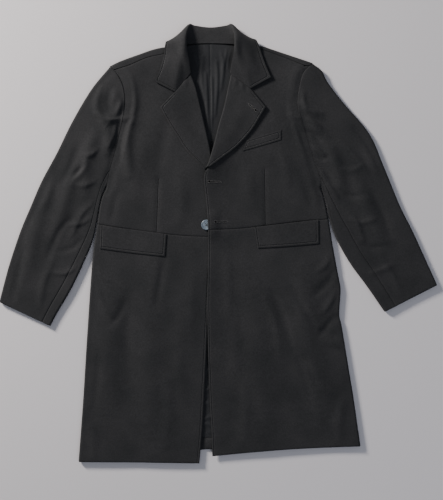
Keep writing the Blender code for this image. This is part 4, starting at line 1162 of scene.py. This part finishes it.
# Small puckers where the lapel meets the collar, and soft waves: same columns as the folds
LAPEL_PUCKERS = (
    (40, 396, 42, 390, 40, 384, 3.4, 1.0, 0.0),
    (47, 392, 50, 386, 49, 380, 3.2, -0.8, 0.0),
    (54, 386, 58, 380, 58, 374, 3.4, 1.0, 0.0),
    (62, 380, 66, 374, 66, 368, 3.2, -0.8, 0.0),
    (-84, 392, -80, 386, -78, 378, 4.0, 0.9, 0.0),
    (-74, 398, -70, 390, -68, 382, 3.6, -0.7, 0.0),
    (60, 352, 46, 300, 14, 244, 16, 1.3, 0.0),
    (-108, 330, -84, 280, -52, 226, 16, 1.2, 0.0),
)


def lapel_grids(side):
    """A lapel from its free edge to its roll, where it turns down to the front's edge."""
    foot_roll, foot_edge = side["lapel_foot"]
    roll = smooth_path([foot_roll] + [place for place in side["roll"] if place[1] > foot_roll[1] + 4])
    edge_line = smooth_path(side["lapel_edge"])
    upper = Path((edge_line(1.0), side["notch"], roll(1.0)))
    upper = timed(upper, upper.shares, (0.0, NOTCH_SHARE, 1.0))
    region = patch(edge_line, roll, Path((foot_edge, foot_roll)), upper)
    v = graded(0.0, 1.0 - 0.3 / roll.length, roll.length, LAPEL_STEP)[0]
    edge = region(np.ones_like(v), v)
    inward = unit(region(np.full_like(v, 0.96), v) - edge)
    width = np.linalg.norm(edge - region(np.zeros_like(v), v), axis=1)
    near_edge = edge + inward * 4
    ground = front_top(side, near_edge[:, 0], near_edge[:, 1])
    half = np.full(len(v), LAPEL_CLOTH / 2)
    reach, turned_outer, turned_inner = turned_edge(
        edge, inward, ground + LAPEL_LAY + half, half, ground - half, half, np.full(len(v), math.pi),
        SIDE_TURN_STEPS)
    last = 1 - (reach + TURN_CLEARANCE) / width
    inside = np.concatenate(((0.0, 0.012, 0.03), np.linspace(0.06, NOTCH_SHARE, NOTCH_COLUMN - 2),
                             np.linspace(NOTCH_SHARE, 1.0, 16)[1:]))
    u = last[:, None] * inside
    places = region(u, v[:, None])
    near = ease((1 - u) * width[:, None], reach[:, None], reach[:, None] + LAPEL_EASE)
    base = settled(ground, front_top(side, places[..., 0], places[..., 1]), near) + LAPEL_LAY
    free = ease(1 - u, 0.35, 1.0) * ease(v, 0.5, 1.0)[:, None]
    base = base + LAPEL_POINT_LIFT * free + fold_heights(LAPEL_PUCKERS, places[..., 0], places[..., 1])
    outer = np.concatenate((with_height(places, base + LAPEL_CLOTH), turned_outer), axis=1)
    inner = np.concatenate((with_height(places, base), turned_inner), axis=1)
    return outer, inner


for word, area in (("right", 0.0153), ("left", 0.0154)):
    outer, inner = lapel_grids(SIDES[word])
    free = np.arange(outer.shape[1]) <= NOTCH_COLUMN
    above = np.where(free, from_rims(outer, "u"), NO_STITCHES_NEAR)
    stitched = np.minimum(from_rims(outer, "l"), above)
    add_stitch_rows(outer[:, :NOTCH_COLUMN + 1], "lu")
    sewn_faces["lapel_" + word] = outer
    outer, inner = rounded_rims(outer, inner, "udl")
    sign = -SIDES[word]["sign"]
    panel = cloth_wall("lapel_facing_" + word, outer, inner, grain_of(outer, sign), stitched)
    finish_piece(panel, "lapel_" + word, wool, (100, 235), area)


# COLLAR
# The collar, cut in one piece of the same wool: a stand that rises from the neck seam and a fall
# that turns over it and lies on the coat. Its fall has a line of stitches along its edge.
COLLAR_CLOTH = 2.5
COLLAR_LAY = 0.6 + COLLAR_CLOTH / 2 + 0.25
COLLAR_SEAM_GAP = 0.35
COLLAR_FRONT_SHARE = 0.42
COLLAR_END_LIFT = 2.6
COLLAR_COLUMNS = 48
COLLAR_ROWS = 12

# How the collar's curves leave the neck seam and the roll and come to the outer edge
STAND_RISE = 4
STAND_LEAN = 0.3
FALL_START = 1.3
FALL_END = 0.45
FALL_PACE = 1.5

# Sections from the gorge to the centre back, half a collar: distance from the neck's centre,
# height up the coat and height off the floor of the neck seam, the roll and the outer edge (right
# and left), the way that the cloth turns at the roll in degrees, and how softly. An outer edge with
# no height lies on the coat.
COLLAR_SECTIONS = (
    ((50.0, 413, 10.6), (48.5, 411, 13.6), (135, 391, None), (145, 401, None), 90, 3.0),
    ((68.0, 431, 11.0), (52.0, 438, 19.0), (122, 420, None), (132, 430, None), 88, 4.0),
    ((80.0, 452, 10.6), (57.0, 464, 24.0), (113, 452, None), (122, 459, None), 80, 6.0),
    ((84.0, 467, 9.6), (59.0, 490, 25.0), (109, 480, 14.0), (113, 485, 14.0), 50, 6.5),
    ((79.0, 477, 8.0), (57.0, 512, 20.0), (104, 487, 7.0), (104, 492, 7.0), 15, 6.5),
    ((62.0, 481, 7.6), (50.0, 528, 12.0), (86, 475, 1.3), (84, 478, 1.3), -25, 5.5),
    ((38.0, 483, 7.6), (37.0, 526, 6.0), (46, 472, 1.3), (44, 472, 1.3), -75, 3.2),
    ((0.0, 484, 7.6), (0.0, 522, 4.4), (0, 472, 1.3), (0, 472, 1.3), -90, 3.0),
)


# Dents of the fall beside its roll and at the gorge: same columns as the folds
COLLAR_DENTS = (
    (-104, 484, -95, 454, -82, 428, 9, -2.6, 0.0),
    (-122, 470, -120, 446, -130, 420, 9, 1.2, 0.0),
    (52, 484, 56, 454, 66, 428, 9, -2.4, 0.0),
    (74, 470, 80, 444, 92, 420, 9, 1.2, 0.0),
    (34, 414, 40, 410, 46, 404, 4, -1.2, 0.0),
    (50, 404, 56, 398, 60, 392, 4, -1.1, 0.0),
    (-70, 404, -64, 410, -60, 418, 5, -1.2, 0.0),
)


def bezier(a, b, c, d, t):
    return (1 - t) ** 3 * a + 3 * (1 - t) ** 2 * t * b + 3 * (1 - t) * t ** 2 * c + t ** 3 * d


def collar_half(side):
    """Half of the collar's middle surface: a grid of points for the stand and one for the fall."""
    sign = side["sign"]
    mirror = np.array((-1.0, 1.0, 1.0))
    mirror_shift = np.array((2 * NECK_CENTRE, 0.0, 0.0))

    def line(pick):
        """One point of each section, in the coat's own place."""
        points = []
        for section in COLLAR_SECTIONS:
            across, y, height = section[pick]
            x = NECK_CENTRE + sign * across
            if height is None:
                height = float(front_top(side, x, y)) + COLLAR_LAY
            points.append((x, y, height))
        return np.array(points)

    fine = np.linspace(0, len(COLLAR_SECTIONS) - 1, COLLAR_COLUMNS + 1)

    def along(points):
        """The sections' points read at even steps, and mirrored past the centre back."""
        after = points[-2] if np.ndim(points) == 1 else points[-2] * mirror + mirror_shift
        return curve_through(points, points[0], after, fine)

    neck = along(line(0))
    roll = along(line(1))
    edge = along(line(2 if sign < 0 else 3))
    turns = along(np.array([float(section[4]) for section in COLLAR_SECTIONS]))
    softness = along(np.array([section[5] for section in COLLAR_SECTIONS]))
    end_line = Path((side["roll"][-1], side["notch"], side["collar_point"]))
    end_line = timed(end_line, end_line.shares, (0.0, 0.5, 1.0))
    following = np.vstack((roll[1:], roll[-2] * mirror + mirror_shift))
    forward = unit((following - np.vstack((roll[:1], roll[:-1])))[:, :2])
    outward = np.column_stack((forward[:, 1], -forward[:, 0], np.zeros(len(fine)))) * sign
    turn = np.radians(turns)[:, None]
    up = np.array((0.0, 0.0, 1.0))
    tangent = outward * np.cos(turn) + up * np.sin(turn)
    handle = tangent * softness[:, None]
    rise = up * STAND_RISE * ease(turns, -60, 60)[:, None] + (roll - neck) * STAND_LEAN
    toward = (edge - roll) * np.array((1, 1, 0.25))
    stand = np.stack([bezier(neck, neck + rise, roll - handle, roll, t)
                      for t in np.linspace(0, 1, COLLAR_ROWS + 1)], axis=1)
    shares = np.linspace(0, 1, 2 * COLLAR_ROWS + 1)
    leave = roll + handle * FALL_START
    arrive = edge - toward * FALL_END
    fall = np.stack([bezier(roll, leave, arrive, edge, t ** FALL_PACE) for t in shares], axis=1)
    ends = end_line(shares)
    lift = COLLAR_END_LIFT * shares ** 2
    target = with_height(ends, front_top(side, ends[:, 0], ends[:, 1]) + COLLAR_LAY + lift)
    shift = target - fall[0]
    shift[:, 2] *= ease(shares, 0.0, 0.25)
    shift[0] = 0.0
    fade = 1 - ease(np.arange(COLLAR_COLUMNS + 1), 0, COLLAR_COLUMNS * COLLAR_FRONT_SHARE)
    return stand, fall + shift * fade[:, None, None]


right_stand, right_fall = collar_half(SIDES["right"])
left_stand, left_fall = collar_half(SIDES["left"])
collar_stand = np.concatenate((right_stand, left_stand[::-1][1:]))
collar_fall = np.concatenate((right_fall, left_fall[::-1][1:]))
dented = ease(np.linspace(0, 1, 2 * COLLAR_ROWS + 1), 0.1, 0.35)
collar_fall[..., 2] += fold_heights(COLLAR_DENTS, collar_fall[..., 0], collar_fall[..., 1]) * dented
collar_middle = np.concatenate((collar_stand, collar_fall[:, 1:]), axis=1)
for row, neighbour in ((0, 1), (-1, -2)):
    collar_middle[row] += unit(collar_middle[neighbour] - collar_middle[row]) * COLLAR_SEAM_GAP
normals = unit(np.cross(np.gradient(collar_middle, axis=0), np.gradient(collar_middle, axis=1)))
collar_outer = collar_middle + normals * COLLAR_CLOTH / 2
collar_inner = collar_middle - normals * COLLAR_CLOTH / 2
collar_outer[..., 2] = np.maximum(collar_outer[..., 2], 0.0)
collar_inner[..., 2] = np.maximum(collar_inner[..., 2], 0.0)
fall_start = COLLAR_ROWS + 12
stitched = np.full(collar_outer.shape[:2], NO_STITCHES_NEAR)
stitched[:, fall_start:] = from_rims(collar_outer[:, fall_start:], "rud")
add_stitch_rows(collar_outer[:, fall_start:], "rud")
panel = cloth_wall("collar_panel", collar_outer, collar_inner,
                   np.stack((walked(collar_outer, 0), walked(collar_outer, 1)), -1), stitched)
finish_piece(panel, "collar", wool, (460, 120), 0.0372)


# BUTTON
# A 25 mm four-hole button of grey-blue resin that imitates horn, turned with a raised rim and a
# dished middle, and sewn to the right front with black thread through its four holes.
BUTTON_HOLE = 1.9
BUTTON_HOLE_SPACING = 4.6
BUTTON_SIDES = 96

# Distance from the middle and height of each ring, from below round to the top
BUTTON_PROFILE = (
    (3.0, 0.0), (8.0, 0.0), (10.6, 0.1), (11.6, 0.5), (12.2, 1.0), (12.5, 1.6), (12.5, 2.2),
    (12.3, 2.8), (11.9, 3.2), (11.3, 3.4), (10.7, 3.4), (10.1, 3.25), (9.5, 2.95), (8.9, 2.75),
    (8.0, 2.66), (6.0, 2.6), (3.0, 2.58),
)


def lathed(name, profile, sides, centre, height):
    """A closed turned solid about an upright axis."""
    bm = bmesh.new()
    rings = []
    for radius, rise in profile:
        ring = []
        for step in range(sides):
            angle = 2 * math.pi * step / sides
            ring.append(bm.verts.new(((centre[0] + radius * math.cos(angle)) * MM,
                                      (centre[1] + radius * math.sin(angle)) * MM,
                                      (height + rise) * MM)))
        rings.append(ring)
    for low, high in zip(rings, rings[1:]):
        for step in range(sides):
            following = (step + 1) % sides
            bm.faces.new((low[step], low[following], high[following], high[step]))
    bm.faces.new(rings[0][::-1])
    bm.faces.new(rings[-1])
    bmesh.ops.recalc_face_normals(bm, faces=bm.faces)
    mesh = bpy.data.meshes.new(name)
    bm.to_mesh(mesh)
    bm.free()
    return placed(name, mesh)


# Resin that imitates horn: cast with clouded streaks of grey and blue, polished, so it has a clear
# soft highlight.
def horn_resin():
    resin, tree = new_finish("horn_effect_resin")
    streak = object_noise(tree, {"Scale": 130.0, "Detail": 4.0, "Distortion": 1.6}, (1.0, 2.4, 1.0), 0.6)
    surface(tree, {"Base Color": two_tones(tree, streak, (0.32, "3E4854"), (0.68, "8693A0")),
                   "Roughness": 0.3, "IOR": 1.5, "Coat Weight": 0.25, "Coat Roughness": 0.12})
    return resin


resin = horn_resin()
button_base = float(coat_top(*BUTTON_CENTRE)) + 0.4
button = lathed("four_hole_button", BUTTON_PROFILE, BUTTON_SIDES, BUTTON_CENTRE, button_base)
holes = []
for corner in range(4):
    angle = math.radians(45 + 90 * corner)
    reach = BUTTON_HOLE_SPACING / math.sqrt(2)
    centre = (BUTTON_CENTRE[0] + reach * math.cos(angle), BUTTON_CENTRE[1] + reach * math.sin(angle))
    hole = lathed("button_hole_%d" % corner, ((BUTTON_HOLE / 2, -2.0), (BUTTON_HOLE / 2, 6.0)), 20,
                  centre, button_base)
    cut = button.modifiers.new("hole_%d" % corner, "BOOLEAN")
    cut.operation = "DIFFERENCE"
    cut.object = hole
    holes.append(hole)
depsgraph = bpy.context.evaluated_depsgraph_get()
pierced = bpy.data.meshes.new_from_object(button.evaluated_get(depsgraph))
button.modifiers.clear()
button.data = pierced
for hole in holes:
    bpy.data.objects.remove(hole)
pierced.shade_smooth()
pierced.set_sharp_from_angle(angle=math.radians(35))
finish_piece(button, "button", resin)

# Places of the thread across the button's face, from hole to hole, in two bars that cross
BUTTON_THREAD_RISE = 0.75
BUTTON_THREAD_START = 0.45
BUTTON_THREAD_CROSSING = 0.25
BUTTON_THREAD_ASIDE = 0.34
BUTTON_THREAD_REACH = 0.72
button_thread_rows = []
spread = np.linspace(-1, 1, 15)
for turn, over in ((45, 0.0), (135, BUTTON_THREAD_CROSSING)):
    across = np.array((math.cos(math.radians(turn)), math.sin(math.radians(turn))))
    for beside in (-BUTTON_THREAD_ASIDE, BUTTON_THREAD_ASIDE):
        aside = np.array((-across[1], across[0])) * beside
        bar = across * spread[:, None] * BUTTON_HOLE_SPACING * BUTTON_THREAD_REACH
        line = np.array(BUTTON_CENTRE) + aside + bar
        height = button_base + BUTTON_PROFILE[-1][1] + BUTTON_THREAD_RISE * (1 - spread ** 4)
        button_thread_rows.append(with_height(line, height - BUTTON_THREAD_START + over))


# STITCHING
# A single line of lockstitch in black polyester thread, 5 mm in from the edges of the fronts,
# lapels, collar, flaps and welt. Each stitch sinks a little into the wool.
STITCH_PITCH = 3.6
STITCH_LENGTH = 3.0
THREAD_WIDTH = 0.62
THREAD_HEIGHT = 0.5
STITCH_SINK = 0.12
BUTTON_THREAD_PITCH = 0.45
BUTTON_THREAD_LENGTH = 0.9


def stitch_tool():
    """Geometry Nodes: rounded stitches one after another along each line of a mesh of edges."""
    tool = bpy.data.node_groups.new("row_of_stitches", "GeometryNodeTree")
    tool.interface.new_socket("Geometry", in_out="INPUT", socket_type="NodeSocketGeometry")
    for name in ("Pitch", "Stitch Length", "Thread Width", "Thread Height", "Turn", "Unevenness"):
        tool.interface.new_socket(name, in_out="INPUT", socket_type="NodeSocketFloat")
    tool.interface.new_socket("Seed", in_out="INPUT", socket_type="NodeSocketInt")
    tool.interface.new_socket("Thread", in_out="INPUT", socket_type="NodeSocketMaterial")
    tool.interface.new_socket("Geometry", in_out="OUTPUT", socket_type="NodeSocketGeometry")
    given = add_node(tool, "NodeGroupInput", {}).outputs
    lines = add_node(tool, "GeometryNodeMeshToCurve", {"Mesh": given["Geometry"]})
    places = add_node(tool, "GeometryNodeCurveToPoints",
                      {"mode": "LENGTH", "Curve": lines.outputs["Curve"], "Length": given["Pitch"]})
    bead = add_node(tool, "GeometryNodeMeshUVSphere", {"Segments": 8, "Rings": 5, "Radius": 0.5})
    facing = add_node(tool, "FunctionNodeAlignRotationToVector",
                      {"axis": "X", "Vector": places.outputs["Tangent"]})
    level = add_node(tool, "FunctionNodeAlignRotationToVector",
                     {"axis": "Z", "pivot_axis": "X", "Vector": (0.0, 0.0, 1.0),
                      "Rotation": facing.outputs["Rotation"]})
    uneven = add_node(tool, "FunctionNodeRandomValue", {"data_type": "FLOAT", "Seed": given["Seed"]})
    swing = add_node(tool, "ShaderNodeMath",
                     {"operation": "MULTIPLY_ADD", 0: uneven.outputs["Value"], 1: given["Unevenness"],
                      2: given["Turn"]})
    turn = add_node(tool, "ShaderNodeCombineXYZ", {"Z": swing.outputs["Value"]})
    rotation = add_node(tool, "FunctionNodeEulerToRotation", {"Euler": turn.outputs["Vector"]})
    turned = add_node(tool, "FunctionNodeRotateRotation",
                      {"rotation_space": "LOCAL", "Rotation": level.outputs["Rotation"],
                       "Rotate By": rotation.outputs["Rotation"]})
    size = add_node(tool, "ShaderNodeCombineXYZ", {"X": given["Stitch Length"],
                                                   "Y": given["Thread Width"],
                                                   "Z": given["Thread Height"]})
    laid = add_node(tool, "GeometryNodeInstanceOnPoints",
                    {"Points": places.outputs["Points"], "Instance": bead.outputs["Mesh"],
                     "Rotation": turned.outputs["Rotation"], "Scale": size.outputs["Vector"]})
    real = add_node(tool, "GeometryNodeRealizeInstances", {"Geometry": laid.outputs["Instances"]})
    dyed = add_node(tool, "GeometryNodeSetMaterial", {"Geometry": real.outputs["Geometry"],
                                                      "Material": given["Thread"]})
    add_node(tool, "NodeGroupOutput", {"Geometry": dyed.outputs["Geometry"]})
    return tool


# Polyester thread: black, twisted from fine filaments, so it shines more than the wool.
def polyester_thread():
    thread, tree = new_finish("black_polyester_thread")
    twist = object_noise(tree, {"Scale": 2600.0, "Detail": 1.0})
    surface(tree, {"Base Color": two_tones(tree, twist, (0.3, "232325"), (0.7, "343437")),
                   "Roughness": 0.5, "IOR": 1.5, "Sheen Weight": 0.2})
    return thread


stitcher = stitch_tool()
thread = polyester_thread()


def sewn(name, rows, pitch, length, width, height, turn, unevenness, seed):
    """Stitches along lines of points, as one plain mesh."""
    points = []
    edges = []
    for row in rows:
        start = len(points)
        points.extend((np.array(row) * MM).tolist())
        edges.extend((start + step, start + step + 1) for step in range(len(row) - 1))
    mesh = bpy.data.meshes.new(name)
    mesh.from_pydata(points, edges, [])
    made = placed(name, mesh)
    modifier = made.modifiers.new("stitches", "NODES")
    modifier.node_group = stitcher
    values = {"Pitch": pitch * MM, "Stitch Length": length * MM, "Thread Width": width * MM,
              "Thread Height": height * MM, "Turn": turn, "Unevenness": unevenness,
              "Seed": seed, "Thread": thread}
    for socket in stitcher.interface.items_tree:
        if socket.in_out == "INPUT" and socket.name in values:
            modifier[socket.identifier] = values[socket.name]
    depsgraph = bpy.context.evaluated_depsgraph_get()
    real = bpy.data.meshes.new_from_object(made.evaluated_get(depsgraph))
    made.modifiers.clear()
    made.data = real
    real.shade_smooth()
    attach(made, "root")
    return made


# Under the collar, where it lies on the floor, the stitches are pressed flush with the cloth
for row in stitch_rows:
    row[:, 2] = np.maximum(row[:, 2] - STITCH_SINK, THREAD_HEIGHT / 2)
sewn("edge_stitching", stitch_rows, STITCH_PITCH, STITCH_LENGTH, THREAD_WIDTH, THREAD_HEIGHT, 0.0, 0.1,
     11)
sewn("button_thread", button_thread_rows, BUTTON_THREAD_PITCH, BUTTON_THREAD_LENGTH, THREAD_WIDTH,
     THREAD_WIDTH, 0.0, 0.1, 17)


# BUTTONHOLES
# Two keyhole buttonholes on the left front and one in the left lapel, each a slit between two banks of
# close buttonhole stitches in the same thread, with a small eye at the edge's end. The slit is filled
# with a near-black sheet of painted shade.
BUTTONHOLES = (
    ("waist_buttonhole", (-7.0, 53.0), (22.0, 53.5), "front_left"),
    ("breast_buttonhole", (-22.0, 150.0), (6.0, 149.0), "front_left"),
    ("lapel_buttonhole", (90.0, 321.0), (73.0, 336.0), "lapel_left"),
)
BANK_WIDTH = 2.3
BANK_HEIGHT = 0.6
BANK_PITCH = 0.72
BANK_CLEARANCE = 0.35
BANK_LAY = 0.18
BANK_POINTS = 160
EYE_RADIUS = 1.7
EYE_OPENING = 0.35
SLIT_HALF_WIDTH = 0.38
SLIT_DEPTH = 0.5
SLIT_LAY = 0.22
SLIT_POINTS = 64


def height_on(grid, x, y):
    """Height of a grid's surface at each place, from its four nearest points."""
    points = grid.reshape(-1, 3)
    gaps = np.hypot(points[:, 0] - x[:, None], points[:, 1] - y[:, None]) + 0.01
    nearest = np.argsort(gaps, axis=1)[:, :4]
    weights = 1 / np.take_along_axis(gaps, nearest, axis=1) ** 2
    return np.sum(points[nearest, 2] * weights, axis=1) / np.sum(weights, axis=1)


def keyhole(start, end, offset):
    """A line round a slit at a distance from it, with a round eye at its start."""
    start = np.array(start)
    end = np.array(end)
    way = unit(end - start)
    aside = np.array((-way[1], way[0]))
    eye = EYE_RADIUS + offset
    opening = max(math.asin(offset / eye), EYE_OPENING)
    turns = np.linspace(opening, 2 * math.pi - opening, 26)
    line = [start + eye * (math.cos(turn) * way + math.sin(turn) * aside) for turn in turns]
    far = np.linspace(-math.pi / 2, math.pi / 2, 9)
    line += [end + offset * (math.cos(turn) * way + math.sin(turn) * aside) for turn in far]
    line.append(line[0])
    return np.array(line)


# Painted shade: a near-black sheet sits in each slit, darker than the wool, for the shade inside the cut
painted_shade_slit, tree = new_finish("painted_shade_in_slit")
surface(tree, {"Base Color": hex_colour("0B0B0C"), "Roughness": 0.95, "Specular IOR Level": 0.05})

for seed, (name, start, end, carrier) in enumerate(BUTTONHOLES):
    carried_by = sewn_faces[carrier]
    ring = Path(keyhole(start, end, BANK_WIDTH / 2 + BANK_CLEARANCE))(np.linspace(0, 1, BANK_POINTS))
    heights = height_on(carried_by, ring[:, 0], ring[:, 1]) + BANK_LAY
    sewn(name, [with_height(ring, heights)], BANK_PITCH, BANK_WIDTH, THREAD_WIDTH, BANK_HEIGHT,
         math.pi / 2, 0.16, 21 + seed)
    slit = Path(keyhole(start, end, SLIT_HALF_WIDTH))(np.linspace(0, 1, SLIT_POINTS))[:-1]
    heights = height_on(carried_by, slit[:, 0], slit[:, 1]) + SLIT_LAY
    low = with_height(slit, heights - SLIT_DEPTH)
    count = len(slit)
    walls = [(step, step + count, (step + 1) % count + count, (step + 1) % count)
             for step in range(count)]
    mesh = bpy.data.meshes.new(name + "_painted_slit_shade")
    mesh.from_pydata((np.vstack((with_height(slit, heights), low)) * MM).tolist(), [],
                     [tuple(range(count)), tuple(reversed(range(count, 2 * count)))] + walls)
    mesh.materials.append(painted_shade_slit)
    made = placed(name + "_painted_slit_shade", mesh)
    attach(made, "root")


# FLOOR, LIGHT AND CAMERA
# A plain pale floor, a large soft light from the upper left as in the photo, a weak fill from the
# other side, and a camera straight above, at the height that shows what the photo shows.
CAMERA_PLACE = (7.3, -14.5, 2200.0)
PHOTO_PIXELS = 500
MM_A_PIXEL = 2.42
PHOTO_HEIGHT = PHOTO_PIXELS * MM_A_PIXEL

bpy.ops.mesh.primitive_plane_add(size=6.0, location=(0.0, 0.0, -0.0004))
floor = bpy.context.object
floor.name = "pale_floor"
floor_paint, tree = new_finish("pale_floor_paint")
surface(tree, {"Base Color": hex_colour("D3D0D4"), "Roughness": 0.9, "Specular IOR Level": 0.2})
floor.data.materials.append(floor_paint)


def soft_light(name, place, size, power, colour):
    """A square light that faces the coat's middle."""
    data = bpy.data.lights.new(name, "AREA")
    data.size = size
    data.energy = power
    data.color = hex_colour(colour)[:3]
    made = placed(name, data)
    made.location = place
    way = -np.array(place) / np.linalg.norm(place)
    made.rotation_euler = (math.acos(-way[2]), 0.0, math.atan2(way[1], way[0]) - math.pi / 2)


soft_light("key_light", (-2.4, 2.1, 1.25), 0.6, 230.0, "FFF9F1")
soft_light("fill_light", (1.6, -1.2, 2.4), 2.2, 18.0, "EAF0FF")
world = bpy.data.worlds.new("studio")
world.use_nodes = True
world.node_tree.nodes["Background"].inputs["Color"].default_value = hex_colour("DDE2EA")
world.node_tree.nodes["Background"].inputs["Strength"].default_value = 0.32
bpy.context.scene.world = world

camera_data = bpy.data.cameras.new("camera")
camera_data.sensor_fit = "VERTICAL"
camera_data.sensor_height = 36.0
camera_data.lens = 36.0 * CAMERA_PLACE[2] / PHOTO_HEIGHT
camera_data.clip_start = 0.01
camera_data.clip_end = 20.0
camera = placed("camera", camera_data)
camera.location = [value * MM for value in CAMERA_PLACE]
bpy.context.scene.camera = camera
